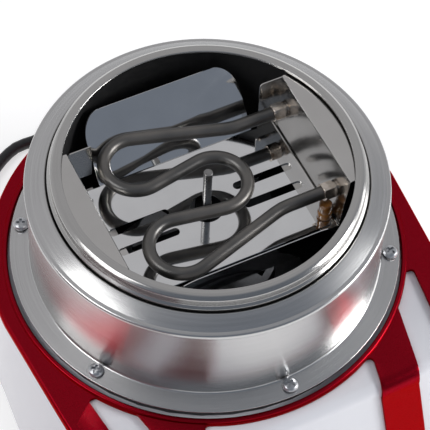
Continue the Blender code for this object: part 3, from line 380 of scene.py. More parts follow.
def stacked_core():
    """Thin steel sheets stacked along Z, so the lines are level."""
    finish = Finish("stacked_core")
    height = parts(finish, place(finish))[2]
    vector = finish.node("ShaderNodeCombineXYZ", {}, {"Z": height * 1600.0})
    line = cloud(finish, 1.0, 1.0, vector)
    colour = grade(finish, line, (0.10, 0.10, 0.105), (0.34, 0.34, 0.35))
    return finish.surface(
        base_color=colour, metallic=0.9, roughness=0.40 + 0.20 * line,
        normal=bump(finish, line, 0.5, 0.3 * MM))


RED = flake_red()
WHITE = gloss_white()
BLACK_PLASTIC = grained(
    "grained_black", (0.014, 0.014, 0.015), (0.030, 0.030, 0.032), 0.36, 900.0, 0.10 * MM)
CORD_BLACK = grained(
    "cord_black", (0.009, 0.009, 0.010), (0.018, 0.018, 0.020), 0.34, 500.0, 0.05 * MM)
RUBBER = grained(
    "foot_rubber", (0.016, 0.016, 0.016), (0.034, 0.033, 0.032), 0.62, 700.0, 0.12 * MM)
# The can's near-black colour is painted shade: it stands in for the dark inside of the well.
CAN_BLACK_PAINTED_SHADE = grained(
    "can_black_painted_shade", (0.006, 0.006, 0.0065), (0.014, 0.0135, 0.0135), 0.60, 260.0, 0.10 * MM)
AMBER = glazed_amber()
COPPER = wound_copper()
CORE = stacked_core()
print(len(bpy.data.materials), "finishes in all")

# %% [markdown]
# ## Profiles and finished pieces
# Real sheet metal never has a perfectly sharp edge. A Bevel modifier could soften every corner
# alike, but here each bend has its own radius, so a point of a profile may carry a third
# number, and `rounded` swaps that corner for an arc. Everything is made around the collar's
# axis, and `finished` sets it down there, gives it its material and hangs it on its body.

# %% Profiles and finished pieces
def finished(name, shape, finish, nodes, body="root", turn=None, sharp=35.0):
    """Makes an object of a mesh, gives it its finish and hangs it on its body."""
    if isinstance(shape, bmesh.types.BMesh):
        bmesh.ops.recalc_face_normals(shape, faces=shape.faces)
        shape = mesh_of(name, shape)
    axis = Matrix.Translation((0.0, AXIS_Y, 0.0))
    piece = put(name, shape, axis @ (turn or Matrix.Identity(4)))
    shape.materials.clear()
    shape.materials.append(finish)
    shape.shade_smooth()
    shape.set_sharp_from_angle(angle=math.radians(sharp))
    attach(piece, body)
    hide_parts(*nodes)
    return piece


def drawn(points, level=0.0):
    """Points in millimetres, whose heights are counted from a level, turned into metres."""
    return [(x * MM, level + z * MM, *(bend * MM for bend in bends)) for x, z, *bends in points]


def ease(share):
    """Goes from 0 to 1 with a soft start and a soft end."""
    share = min(1.0, max(0.0, share))
    return share * share * (3 - 2 * share)


def rounded(points, steps=5):
    """Swaps each corner that gives a bend radius for an arc of that radius."""
    line = []
    count = len(points)
    for i, (x, y, *bend) in enumerate(points):
        spot = Vector((x, y))
        if not bend or bend[0] <= 0.0:
            line.append((x, y))
            continue
        before = Vector(points[i - 1][:2]) - spot
        after = Vector(points[(i + 1) % count][:2]) - spot
        corner = before.angle(after)
        reach = bend[0] / math.tan(corner / 2)
        reach = min(reach, 0.49 * before.length, 0.49 * after.length)
        radius = reach * math.tan(corner / 2)
        inward = (before.normalized() + after.normalized()).normalized()
        middle = spot + inward * radius / math.sin(corner / 2)
        start = spot + before.normalized() * reach - middle
        end = spot + after.normalized() * reach - middle
        sweep = start.angle_signed(end)
        for k in range(steps + 1):
            turned_by = Matrix.Rotation(-sweep * k / steps, 2)
            line.append(tuple(middle + turned_by @ start))
    return line


print("drawn, ease and rounded make profiles, and finished makes a piece")

# %% [markdown]
# ## Turned and pulled shapes
# Most pieces are turned: a profile of (radius, height) points is swept round the axis. Others
# are pulled straight from an outline. A Spin or Screw modifier could sweep a profile, but a
# loop over the angles is as short and leaves a plain mesh that can be cut at once.

# %% Turned and pulled shapes
FINE = 160          # steps round a large turned piece
SMALL = 48          # steps round a small one


def lathe(points, steps=FINE, closed=True, bend_steps=5):
    """Sweeps a profile round the Z axis. An open profile starts and ends on the axis."""
    bm = bmesh.new()
    rings = []
    for radius, height in rounded(points, bend_steps):
        if radius < 1e-7:
            rings.append([bm.verts.new((0.0, 0.0, height))])
            continue
        rings.append([
            bm.verts.new((radius * math.cos(a), radius * math.sin(a), height))
            for a in (2 * math.pi * i / steps for i in range(steps))])
    for first, second in zip(rings, rings[1:] + (rings[:1] if closed else [])):
        for i in range(steps):
            k = (i + 1) % steps
            corners = [first[i % len(first)], first[k % len(first)],
                       second[k % len(second)], second[i % len(second)]]
            corners = list(dict.fromkeys(corners))
            if len(corners) > 2:
                bm.faces.new(corners)
    bmesh.ops.recalc_face_normals(bm, faces=bm.faces)
    return bm


def joined(bm, loops, capped=False):
    """Fills the faces between each loop of points and the next, and closes the two ends."""
    for first, second in zip(loops, loops[1:]):
        for i in range(len(first)):
            k = (i + 1) % len(first)
            bm.faces.new((first[i], first[k], second[k], second[i]))
    if capped:
        bm.faces.new(loops[0])
        bm.faces.new(loops[-1][::-1])
    bmesh.ops.recalc_face_normals(bm, faces=bm.faces)
    return bm


def slab(outline, low, high, plane="XY", steps=4):
    """An outline with rounded corners, pulled straight from low to high along the third axis."""
    lift = {"XY": (0, 1, 2), "XZ": (0, 2, 1), "YZ": (2, 0, 1)}[plane]
    bm = bmesh.new()
    loops = [
        [bm.verts.new([(x, y, level)[axis] for axis in lift]) for x, y in rounded(outline, steps)]
        for level in (low, high)]
    return joined(bm, loops, capped=True)


def box(half_w, half_h, corner, centre=(0.0, 0.0)):
    """A rectangle in millimetres with rounded corners, as an outline."""
    x, y = centre
    return drawn([(x + half_w, y + half_h, corner), (x - half_w, y + half_h, corner),
                  (x - half_w, y - half_h, corner), (x + half_w, y - half_h, corner)])


def rod(radius, low, high, steps=SMALL):
    bm = bmesh.new()
    bmesh.ops.create_cone(
        bm, cap_ends=True, segments=steps, radius1=radius, radius2=radius, depth=high - low,
        matrix=Matrix.Translation((0.0, 0.0, (low + high) / 2)))
    return bm


print("lathe, slab and rod make the plain shapes")

# %% [markdown]
# ## Cutting
# Holes, windows and trimmed edges come from Booleans. They could be modelled by hand from the
# first point on, but then a change of one size would mean new faces everywhere. A Bevel comes
# last, so the cut edges get the small round edge that catches the light.

# %% Cutting
def scratch(name, bm, turn=None):
    """A plain object that only lives until a Boolean has used it."""
    return put(name, mesh_of(name, bm), turn)


def carved(bm, tools, edge=0.0, steps=2, angle=32.0):
    """Cuts, joins or keeps with each (operation, tool) in turn, then rounds the sharp edges."""
    piece = scratch("blank", bm)
    for operation, tool in tools:
        cut = piece.modifiers.new("cut", "BOOLEAN")
        cut.operation = operation
        cut.object = tool
    if edge:
        soft = piece.modifiers.new("soft", "BEVEL")
        soft.width = edge
        soft.segments = steps
        soft.limit_method = "ANGLE"
        soft.angle_limit = math.radians(angle)
        soft.use_clamp_overlap = True
    bpy.context.view_layer.update()
    evaluated = piece.evaluated_get(bpy.context.evaluated_depsgraph_get())
    mesh = bpy.data.meshes.new_from_object(evaluated)
    for used in [piece] + [tool for _, tool in tools]:
        bpy.data.objects.remove(used)
    return mesh


def less(*tools):
    return [("DIFFERENCE", tool) for tool in tools]


print("carved cuts a shape and rounds its edges")


# %% [markdown]
# ## Power cord
# The cord is one smooth curve of fixed length. It leaves the back of the body through a
# tapered sleeve, bends down to the table, runs along it, and winds four turns into a neat
# coil before it ends in its plug. A cloth or soft-body run could drop it, but would change
# its length, so the free stretch follows listed points. The turns come from a loop:
# two beside each other on the table, and two on top of them.

# %% Power cord
CORD_RADIUS = 3.5 * MM
RELIEF_HEIGHT = 24.0 * MM
RELIEF_ACROSS = 34.0 * MM
BODY_SIDE = 121.0 * MM
RELIEF_START = 122.98 * MM
RELIEF_LENGTH = 24.0 * MM
COIL_CENTRE = Vector((-116.0 * MM, 168.0 * MM))
COIL_START = (48.0, 3.55)       # radius and height at which the cord comes in
COIL_TURNS = [(42.0, 3.55), (35.0, 3.55), (35.0, 10.45), (42.0, 10.45)]
STEPS_A_TURN = 20
FREE_POINTS = [
    (45.5, 158.0, 20.0), (41.0, 171.0, 10.0), (29.0, 176.0, 4.5), (14.0, 173.0, 3.6),
    (-2.0, 165.0, 3.6), (-20.0, 157.0, 3.6), (-38.0, 154.2, 3.6), (-48.0, 154.4, 3.6),
    (-56.0, 151.9, 3.6), (-64.0, 147.2, 3.6), (-73.5, 139.8, 3.6), (-82.0, 131.6, 3.6),
    (-90.0, 125.8, 3.6), (-98.5, 121.8, 3.6)]
TAIL_POINTS = [
    (-151.1, 133.2, 3.6), (-161.5, 142.0, 3.6), (-169.5, 153.5, 3.6), (-172.0, 167.0, 3.6)]
COIL_ENTRY = 291.0
COIL_EXIT = 225.0

exit_angle = math.acos(RELIEF_ACROSS / BODY_SIDE)
exit_way = Vector((math.cos(exit_angle), math.sin(exit_angle), 0.0))


def along_exit(distance):
    """Turns a piece made along Z so that it lies along the cord's way out."""
    spot = Matrix.Translation(exit_way * distance + Vector((0, 0, RELIEF_HEIGHT)))
    turn = Matrix.Rotation(exit_angle, 4, "Z") @ Matrix.Rotation(math.pi / 2, 4, "Y")
    return spot @ turn


def curve_through(spots, step):
    """Points every step along a smooth curve through the given ones."""
    ends = [2 * spots[0] - spots[1]] + spots + [2 * spots[-1] - spots[-2]]
    fine = []
    for a, b, c, d in zip(ends, ends[1:], ends[2:], ends[3:]):
        for i in range(16):
            t = i / 16
            fine.append(0.5 * (2 * b + (c - a) * t + (2 * a - 5 * b + 4 * c - d) * t ** 2
                               + (3 * b - a - 3 * c + d) * t ** 3))
    fine.append(spots[-1])
    line = [fine[0]]
    for spot in fine[1:-1]:
        if (spot - line[-1]).length >= step:
            line.append(spot)
    return line + [fine[-1]]


def coil_points():
    """The wound turns. Each one eases away from the one before over its first third."""
    spots = []
    total = 360.0 * len(COIL_TURNS) + COIL_ENTRY - COIL_EXIT - 360.0
    count = int(total / 360.0 * STEPS_A_TURN)
    for i in range(1, count):
        wound = total * i / count
        turn = wound / 360.0
        k = min(int(turn), len(COIL_TURNS) - 1)
        old, new = (COIL_TURNS[k - 1] if k else COIL_START), COIL_TURNS[k]
        share = ease((turn - k) / 0.30)
        radius, height = (a + (b - a) * share for a, b in zip(old, new))
        angle = math.radians(COIL_ENTRY - wound)
        flat = COIL_CENTRE + Vector((math.cos(angle), math.sin(angle))) * radius * MM
        spots.append(Vector((*flat, height * MM)))
    return spots


def cord_route():
    lift = Vector((0.0, 0.0, RELIEF_HEIGHT))
    end = RELIEF_START + RELIEF_LENGTH
    reaches = (RELIEF_START - 10 * MM, RELIEF_START + 8 * MM, end + MM)
    spots = [exit_way * reach + lift for reach in reaches]
    spots += [Vector(p) * MM for p in FREE_POINTS]
    spots += coil_points()
    spots += [Vector(p) * MM for p in TAIL_POINTS]
    route = curve_through(spots, 5.5 * MM)
    for spot in route:
        spot.z = max(spot.z, CORD_RADIUS + 0.05 * MM)
    return route


def power_cord():
    route = cord_route()
    curve = bpy.data.curves.new("cord", "CURVE")
    curve.dimensions = "3D"
    curve.bevel_depth = CORD_RADIUS
    curve.bevel_resolution = 4
    curve.use_fill_caps = True
    spline = curve.splines.new("POLY")
    spline.points.add(len(route) - 1)
    for point, spot in zip(spline.points, route):
        point.co = (spot.x, spot.y + AXIS_Y, spot.z, 1.0)
    spline.use_smooth = True
    curve.materials.append(CORD_BLACK)
    cord = put("cord", curve)
    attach(cord, "root")
    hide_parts("power_cord", "cord_coil", "cord_tail")
    return cord, sum((b - a).length for a, b in zip(route, route[1:]))


cord, cord_length = power_cord()
print(f"the cord is {cord_length:.3f} m long")


# %% [markdown]
# ## Strain relief and plug
# The sleeve that guards the cord where it leaves the wall is moulded rubber with rings, so it
# bends evenly. It is a turned profile laid along the cord's way out. The plug could be a cube
# with a Subdivision modifier, but its finger ridges need loops at known places, so it is
# lofted from narrow to wide through rounded sections. Two flat blades and a tie go with it.

# %% Strain relief, plug and coil tie
def strain_relief():
    bore = CORD_RADIUS + 0.1 * MM
    profile = [(bore, -12 * MM)] + drawn([
        (5.0, -12), (5.0, 0.0), (7.0, 0.0, 0.5), (7.0, 2.5, 1.0), (5.9, 2.6, 0.3)])
    for i in range(6):
        low, size = 4.0 + 3.2 * i, 5.8 - 0.2 * i
        profile += drawn([(size, low, 0.3), (size - 0.9, low + 0.4, 0.2),
                          (size - 0.9, low + 1.4, 0.2), (size - 0.1, low + 1.8, 0.3)])
    profile += [(4.55 * MM, RELIEF_LENGTH, 0.4 * MM), (bore, RELIEF_LENGTH)]
    return finished("relief_sleeve", lathe(profile, SMALL, bend_steps=3), RUBBER,
                    ["strain_relief"], turn=along_exit(RELIEF_START))


def plug_frame():
    end = Vector((*TAIL_POINTS[-1][:2], 0.0)) * MM
    before = Vector((*TAIL_POINTS[-2][:2], 0.0)) * MM
    way = end - before
    return Matrix.Translation(end) @ Matrix.Rotation(math.atan2(way.y, way.x), 4, "Z")


def plug():
    """Rounded sections from the cord's neck to the face, with finger ridges between."""
    sections = [(0.3, 4.4, 4.2, 4.0), (3.0, 5.0, 4.6, 4.4), (8.0, 8.6, 6.0, 4.2),
                (12.0, 10.7, 7.2, 4.0)]
    for ridge in (14.0, 18.0, 22.0):
        sections += [(ridge, 10.9, 7.3, 3.6), (ridge + 0.6, 10.2, 6.7, 3.4),
                     (ridge + 2.0, 10.2, 6.7, 3.4), (ridge + 2.6, 10.9, 7.3, 3.6)]
    sections += [(30.8, 10.9, 7.35, 3.2), (31.8, 10.2, 6.8, 2.8)]
    middle = 7.5 * MM
    bm = bmesh.new()
    loops = [
        [bm.verts.new((x * MM, y, middle + z)) for y, z in rounded(box(*size), 6)]
        for x, *size in sections]
    grip = joined(bm, loops, capped=True)
    pieces = [finished("plug_grip", grip, CORD_BLACK, ["plug_body"],
                       turn=plug_frame(), sharp=50.0)]
    outline = drawn([(32.3, 4.4), (49, 4.4, 1.6), (49, 10.6, 1.6), (32.3, 10.6)])
    lay = Matrix.Translation((44.5 * MM, 0.0, middle)) @ Matrix.Rotation(math.pi / 2, 4, "X")
    for i, across in enumerate((-6.35 * MM, 6.35 * MM), 1):
        blade = slab(outline, across - 0.75 * MM, across + 0.75 * MM, "XZ")
        hole = scratch("blade_hole", rod(1.5 * MM, -20 * MM, 20 * MM, steps=20), lay)
        mesh = carved(blade, less(hole), 0.2 * MM)
        pieces.append(finished(f"blade_{i}", mesh, BRASS, [f"plug_blade_{i}"],
                               turn=plug_frame(), sharp=40.0))
    return pieces


def coil_tie():
    """A flat tie bent over the coil, with both ends tucked down beside it."""
    path = drawn([(30.3, 0.5), (30.3, 15.0, 2.2), (46.3, 15.0, 2.2), (46.3, 0.5),
                  (45.4, 0.5), (45.4, 14.1, 1.4), (31.2, 14.1, 1.4), (31.2, 0.5)])
    turn = Matrix.Translation((*COIL_CENTRE, 0.0)) @ Matrix.Rotation(math.radians(35.0), 4, "Z")
    return finished("coil_tie", slab(path, -4 * MM, 4 * MM, "XZ", 6), RUBBER, [],
                    turn=turn)


relief = strain_relief()
plug_pieces = plug()
tie = coil_tie()
print("the cord carries", [piece.name for piece in [relief, tie] + plug_pieces])

# %% [markdown]
# ## Shape of the body
# Seen from above, the body is round behind and has a flat front with rounded corners. One
# formula gives its radius at any angle: the distance to the side line and the distance to the
# front line, blended by a high power so that the smaller one wins and the corner between them
# stays smooth. A subdivided cage would need its points fitted by eye. One outline is used at
# the deck and a wider one at the base.

# %% Shape of the body
SHOULDER_SIDE = 116.0 * MM
SHOULDER_FRONT = 119.5 * MM
SHOULDER_TAPER = 0.075
BASE_SIDE = 123.3 * MM
BASE_FRONT = 131.5 * MM
BASE_TAPER = -0.065
CORNER_POWER = 8.0
BEND_SIDE = 2.0 * MM
BEND_FRONT = 9.0 * MM
BEND_FROM, BEND_OVER = 0.62, 0.2        # where the bend grows, by how far ahead a wall faces
FOOT_HEIGHT = 7.0 * MM
THICK = 2.0 * MM
BODY_INSET = 2.3 * MM
SKIN_STEPS = 288


def outline_radius(angle, side, front, taper):
    ahead = -math.sin(angle)
    if ahead <= 0:
        return side
    to_side = side / (abs(math.cos(angle)) + taper * ahead)
    to_front = front / ahead
    return (to_side ** -CORNER_POWER + to_front ** -CORNER_POWER) ** (-1 / CORNER_POWER)


def shoulder(angle):
    return outline_radius(angle, SHOULDER_SIDE, SHOULDER_FRONT, SHOULDER_TAPER)


def base_line(angle):
    return outline_radius(angle, BASE_SIDE, BASE_FRONT, BASE_TAPER)


def bend_radius(angle):
    share = ease((-math.sin(angle) - BEND_FROM) / BEND_OVER)
    return BEND_SIDE + (BEND_FRONT - BEND_SIDE) * share


def skin(angle, inset, floor, bend_steps=7, wall_steps=8):
    """The (radius, height) line of a skin from the deck to its bottom edge."""
    outer, bend = shoulder(angle), bend_radius(angle)
    turn = max(bend - inset, 0.4 * MM)
    level = DECK - inset
    line = []
    for i in range(bend_steps + 1):
        slope = math.pi / 2 * (1 - i / bend_steps)
        line.append((outer - inset - turn * (1 - math.cos(slope)),
                     level - turn * (1 - math.sin(slope))))
    top = line[-1][1]
    for i in range(1, wall_steps + 1):
        height = top + (floor - top) * i / wall_steps
        run = max((DECK - bend - height) / (DECK - bend - FOOT_HEIGHT), 0.0)
        line.append((outer - inset + (base_line(angle) - outer) * run, height))
    return line


def shell(start, inset, floor):
    """A closed shell from its inner edge over the deck and down the wall, and back inside."""
    bm = bmesh.new()
    grid = []
    for i in range(SKIN_STEPS):
        angle = 2 * math.pi * i / SKIN_STEPS
        inside = skin(angle, inset + THICK, floor, 3, 2)
        section = start + skin(angle, inset, floor) + inside[::-1]
        grid.append([bm.verts.new((r * math.cos(angle), r * math.sin(angle), z))
                     for r, z in section])
    return joined(bm, grid + grid[:1])


print(f"the body is {2 * BASE_SIDE / MM:.0f} mm wide at its base")


# %% [markdown]
# ## Windows in the cover
# Windows leave two straps in front, two narrow stripes beside them, and bare panels at the
# sides. They could be gaps between separate strips, but a real cover is one moulding, so they
# are cut from the whole. Each is a straight prism: one from above for the deck, one from the
# front for the wall, and one from each side. The deck's windows end in an arc at the rim.

# %% Windows in the cover
RIM_INNER = 105.8 * MM
RIM_WIDTH = 2.7 * MM
RIM_HEIGHT = 1.9 * MM
SIDE_LIP = 3.3 * MM
CENTRE_EDGE, STRAP_EDGE, STRIPE_EDGE = 44.3 * MM, 66.4 * MM, 87.0 * MM
CENTRE_DRAW, STRAP_DRAW, STRIPE_DRAW = 0.226, 0.221, 0.134
STRAP_FAN, STRIPE_FAN = 0.11, 0.20
SIDE_FRONT, SIDE_BACK, SIDE_FAN = 92.0 * MM, 45.0 * MM, 0.12
WINDOW_CORNER = 3.0 * MM
DECK_CORNER = 2.4 * MM


def deck_window(left, right):
    """A window in the deck: two straight sides, and an end that follows the raised rim."""
    guard = RIM_INNER + RIM_WIDTH + 0.3 * MM
    near, far = 60 * MM, SHOULDER_FRONT + 4 * MM

    def side_point(side, ahead):
        edge, draw, _ = side
        return edge + draw * (SHOULDER_FRONT - ahead), -ahead

    def meeting(side):
        """How far ahead a side meets the rim, or None if it stays outside it."""
        low, high = near, far
        if math.hypot(*side_point(side, near)) > guard:
            return None
        for _ in range(40):
            middle = (low + high) / 2
            inside = math.hypot(*side_point(side, middle)) < guard
            low, high = (middle, high) if inside else (low, middle)
        return low

    ends = []
    for side in (left, right):
        reach = meeting(side)
        corner = side_point(side, near if reach is None else reach)
        sign = 1 if side[0] > 0 else -1
        across = sign * math.sqrt(guard ** 2 - near ** 2)
        ends.append((side_point(side, far), corner, (across, -near) if reach is None else corner))
    (far_in, corner_in, rim_in), (far_out, corner_out, rim_out) = ends
    first, last = (math.atan2(spot[1], spot[0]) for spot in (rim_in, rim_out))
    outline = [far_in, (*corner_in, DECK_CORNER)]
    if rim_in != corner_in:
        outline.append((*rim_in, DECK_CORNER))
    for i in range(3, 22):
        angle = first + (last - first) * i / 24
        outline.append((guard * math.cos(angle), guard * math.sin(angle)))
    if rim_out != corner_out:
        outline.append((*rim_out, DECK_CORNER))
    outline += [(*corner_out, DECK_CORNER), far_out]
    return scratch("deck_window", slab(outline, DECK - BEND_FRONT, DECK + 4 * MM))


def front_window(left, right):
    top = DECK - BEND_FRONT
    drop = top + 5 * MM
    (edge_l, _, fan_l), (edge_r, _, fan_r) = left, right
    outline = [(edge_l, top + 0.4 * MM), (edge_r, top + 0.4 * MM),
               (edge_r + fan_r * drop, top - drop), (edge_l + fan_l * drop, top - drop)]
    return scratch("front_window", slab(outline, -BASE_FRONT - 20 * MM, -62 * MM, "XZ"))


def side_window(sign):
    top = DECK - SIDE_LIP
    drop = top + 5 * MM
    outline = [
        (-SIDE_FRONT, top, WINDOW_CORNER), (SIDE_BACK, top, WINDOW_CORNER),
        (SIDE_BACK + SIDE_FAN * drop, -5 * MM), (-SIDE_FRONT - SIDE_FAN * drop, -5 * MM)]
    low, high = sorted((sign * 90 * MM, sign * (BASE_SIDE + 40 * MM)))
    return scratch("side_window", slab(outline, low, high, "YZ"))


print("windows: deck, front and side")

# %% [markdown]
# ## Red cover
# The cover is a second skin, 2 mm thick, that stands proud of the white body, with a raised
# rim round the collar. A Solidify modifier could thicken an open skin, but a closed section
# swept round gives the rim as well. The windows' cut edges get a small bevel, which gives
# them the bright line that a moulded edge has.

# %% Red cover
def relief_hole():
    return scratch("relief_hole", rod(5.4 * MM, 90 * MM, 140 * MM), along_exit(0.0))


def red_cover():
    rim_outer = RIM_INNER + RIM_WIDTH
    rim_top = DECK + RIM_HEIGHT
    rim = rounded([
        (rim_outer, DECK - THICK), (RIM_INNER, DECK - THICK), (RIM_INNER, rim_top, 0.8 * MM),
        (rim_outer, rim_top, 0.9 * MM), (rim_outer, DECK)], 5)
    tools = []
    for side in (-1, 1):
        strap = (side * STRAP_EDGE, side * STRAP_DRAW, side * STRAP_FAN)
        stripe = (side * STRIPE_EDGE, side * STRIPE_DRAW, side * STRIPE_FAN)
        sides = sorted((strap, stripe))
        tools += [deck_window(*sides), front_window(*sides), side_window(side)]
    sides = [(side * CENTRE_EDGE, side * CENTRE_DRAW, side * STRAP_FAN) for side in (-1, 1)]
    tools += [deck_window(*sides), front_window(*sides), relief_hole()]
    mesh = carved(shell(rim, 0.0, FOOT_HEIGHT + 1.5 * MM), less(*tools), 0.45 * MM, 3)
    finished("cover_skin", mesh, RED, ["red_cover"], sharp=40.0)
    print(len(tools), "cuts leave", len(mesh.polygons), "faces on the cover")


red_cover()

# %% [markdown]
# ## White body
# Under the cover the white body carries everything. It is moulded in one piece. A Solidify
# modifier on the cover could make it, but the windows would come along, so the same outline is
# used again, set in by the cover's thickness and a small gap. The windows show it just below
# the red. Only the switch and the cord need holes in it.

# %% White body
SWITCH_HEIGHT = 36 * MM
BODY_HOLE = 88 * MM


def front_slope():
    """Where the switch sits: square to the front wall, which leans out towards its foot."""
    front = -math.pi / 2
    top = DECK - bend_radius(front)
    run = (top - SWITCH_HEIGHT) / (top - FOOT_HEIGHT)
    spread = base_line(front) - shoulder(front)
    reach = shoulder(front) - BODY_INSET + spread * run
    slope = math.atan2(spread, top - FOOT_HEIGHT)
    return Matrix.Translation((0.0, -reach, SWITCH_HEIGHT)) @ Matrix.Rotation(-slope, 4, "X")


def white_body():
    level = DECK - BODY_INSET
    start = [(BODY_HOLE, level - THICK), (BODY_HOLE, level)]
    switch_hole = slab(box(10.3, 7.3, 1.0), -12 * MM, 12 * MM, "XZ")
    holes = less(relief_hole(), scratch("switch_hole", switch_hole, front_slope()))
    mesh = carved(shell(start, BODY_INSET, FOOT_HEIGHT), holes)
    finished("body_skin", mesh, WHITE, ["white_body"], sharp=40.0)
    print("white body", len(mesh.polygons), "faces")


white_body()

# %% [markdown]
# ## Collar, lip and can
# These are spun from sheet: a disc is pressed over a turning form, which leaves ring grain and
# soft bends. Each is one closed profile. The collar has a flange for the screws, a straight
# neck, a rolled bead and a sloping band. The lip stands inside it with a dark gap between
# them, and the dark can hangs under the lip.

# %% Collar, lip and can
FLANGE_TOP = TOP - 68.3 * MM
FLANGE_REACH = 104.3 * MM
FLANGE_FALL = 0.15
SCREW_CIRCLE = 99.1 * MM


def flange_height(radius):
    return FLANGE_TOP + (FLANGE_REACH - radius) * FLANGE_FALL


def collar():
    base = flange_height(94.9 * MM)
    sheet = 0.8 * MM
    band = [(82.8, -11.0), (82.8, -7.6, 0.7), (91.4, -12.0, 0.8), (94.0, -12.3, 1.3),
            (94.0, -15.2, 1.2), (93.0, -15.9, 0.6)]
    flange = [
        (93.9 * MM, base, 1.4 * MM), (FLANGE_REACH, FLANGE_TOP, 0.4 * MM),
        (FLANGE_REACH, FLANGE_TOP - sheet, 0.2 * MM), (93.1 * MM, base - sheet, 0.4 * MM)]
    inside = [(92.2, -15.8), (92.6, -13.6), (91.2, -12.9), (83.6, -8.8), (83.6, -11.0)]
    profile = drawn(band, TOP) + flange + drawn(inside, TOP)
    finished("collar_skin", lathe(profile), COLLAR_STEEL, ["collar"], sharp=50.0)


def lip():
    bottom = DECK + 3.7 * MM
    thick = 0.6 * MM
    skirt = 82.0 * MM
    rim = [(74.3, -1.1), (74.3, 0.0, 0.55), (78.4, -0.1, 2.4), (80.3, -1.6, 1.0),
           (80.6, -5.6, 0.5), (82.0, -6.8, 0.5)]
    foot = [(skirt, bottom + thick), (102 * MM, bottom + thick), (102 * MM, bottom),
            (skirt - thick, bottom), (skirt - thick, TOP - 7.0 * MM, 0.3 * MM)]
    inside = [(79.9, -5.8, 0.3), (79.6, -2.0, 0.5), (78.0, -0.8, 1.5), (75.3, -0.8), (75.3, -1.1)]
    profile = drawn(rim, TOP) + foot + drawn(inside, TOP)
    finished("lip_skin", lathe(profile), LIP_STEEL, ["lip_ring"], sharp=50.0)


def can():
    level = DECK + 2.8 * MM
    rim = TOP - 1.6 * MM
    profile = [
        (77.8 * MM, rim), (77.8 * MM, level + 0.6 * MM, 1.0 * MM), (102 * MM, level + 0.6 * MM),
        (102 * MM, level), (77.2 * MM, level, 0.6 * MM), (77.2 * MM, rim)]
    # The can's near-black finish is painted shade for the dark well under the lip.
    finished("can_skin", lathe(profile), CAN_BLACK_PAINTED_SHADE, ["drum"], sharp=50.0)


collar()
lip()
can()
print(f"the flange reaches {FLANGE_REACH / MM:.1f} mm from the axis")

# %% [markdown]
# ## Flange screws
# Six cross-head screws hold the flange. A pan head is a low dome with a straight rim, so it
# is a turned profile, and the cross is cut with a plus-shaped tool. An Array modifier could
# set them round, but here each screw stops at its own angle, as real ones do.

# %% Flange screws
HEAD_RADIUS = 4.1 * MM
HEAD_HEIGHT = 2.4 * MM


def screw_mesh(shank, length):
    wide, high = HEAD_RADIUS, HEAD_HEIGHT
    profile = [
        (0.0, high), (0.45 * wide, 0.97 * high, 1.0 * MM), (0.82 * wide, 0.72 * high, 1.2 * MM),
        (wide, 0.30 * high, 0.5 * MM), (wide, 0.0, 0.2 * MM), (shank, 0.0),
        (shank, -length, 0.3 * MM), (0.0, -length)]
    half, reach = 0.17 * wide, 0.60 * wide
    arm = [(reach, -half, 0.25 * MM), (reach, half, 0.25 * MM), (half, half, 0.15 * MM)]
    cross = []
    for c, s in ((1, 0), (0, 1), (-1, 0), (0, -1)):
        cross += [(x * c - y * s, x * s + y * c, bend) for x, y, bend in arm]
    tool = scratch("cross", slab(cross, 0.16 * high, 2 * high, steps=3))
    return carved(lathe(profile, 40, closed=False), less(tool), 0.10 * MM, 2, 40.0)


def flange_screws():
    head = screw_mesh(1.8 * MM, 13 * MM)
    seat = flange_height(SCREW_CIRCLE - HEAD_RADIUS) + 0.3 * MM
    for i in range(6):
        angle = math.radians(-90 + 60 * i)
        spot = (SCREW_CIRCLE * math.cos(angle), SCREW_CIRCLE * math.sin(angle), seat)
        turn = Matrix.Translation(spot) @ Matrix.Rotation(0.7 + 1.3 * i, 4, "Z")
        finished(f"flange_screw_{i + 1}", head.copy(), ZINC, [f"collar_screw_{i + 1}"],
                 turn=turn, sharp=40.0)
    print("six screws of", len(head.polygons), "faces")


flange_screws()

# %% [markdown]
# ## Bent sheet
# The reflector is bent from thin mirror sheet. A Solidify modifier could thicken a bent
# surface, but at the bends a moved line is more even, so a bent sheet is drawn as a line with
# bend radii, and gets its thickness when that line is moved sideways.

# %% Bent sheet
SHEET = 0.6 * MM
FLOOR = TOP - 38.5 * MM
WALL_TOP = TOP - 2.8 * MM
WALL_TOP_HALF, WALL_FLOOR_HALF = 61.4 * MM, 57.3 * MM
BOX_HALF = 38.0 * MM
HEATER_CENTRE, HEATER_LEAD = 1.4 * MM, 28.4 * MM
HEATER_DROP = 20.7 * MM
HEATER_LEVEL = TOP - HEATER_DROP
WALL_AT_HEATER = WALL_TOP_HALF - HEATER_DROP * (WALL_TOP_HALF - WALL_FLOOR_HALF) / (38.5 * MM)


def bent_sheet(points, thick=SHEET):
    """The outline of a sheet: its face line, and the same line moved by its thickness."""
    line = [Vector(p) for p in rounded(points, 5)]
    moved = []
    for i, spot in enumerate(line):
        before = (spot - line[i - 1]).normalized() if i else (line[1] - line[0]).normalized()
        after = (line[i + 1] - spot).normalized() if i < len(line) - 1 else before
        normal = Vector((-before.y - after.y, before.x + after.x)).normalized()
        share = max(0.3, normal.dot(Vector((-after.y, after.x))))
        moved.append(spot + normal * thick / share)
    return [tuple(p) for p in line] + [tuple(p) for p in reversed(moved)]


def on_lead(side):
    """Turns a piece made along Z so that it lies along the heater's rear or front lead."""
    spot = Matrix.Translation((0.0, HEATER_CENTRE + side * HEATER_LEAD, HEATER_LEVEL))
    return spot @ Matrix.Rotation(math.pi / 2, 4, "Y")


print(f"the sheet is {SHEET / MM:.1f} mm thick")

# %% [markdown]
# ## Reflector box
# Two bent walls carry the heater, a slotted floor lies between them, and two mirrors close the
# ends. All could be flat planes, but the bends and slots are what catches the light. The end
# plates lean back and have large round corners, cut by an outline. The walls' top flanges are
# trimmed to the can's round, and the right wall has two holes for the heater's ends.

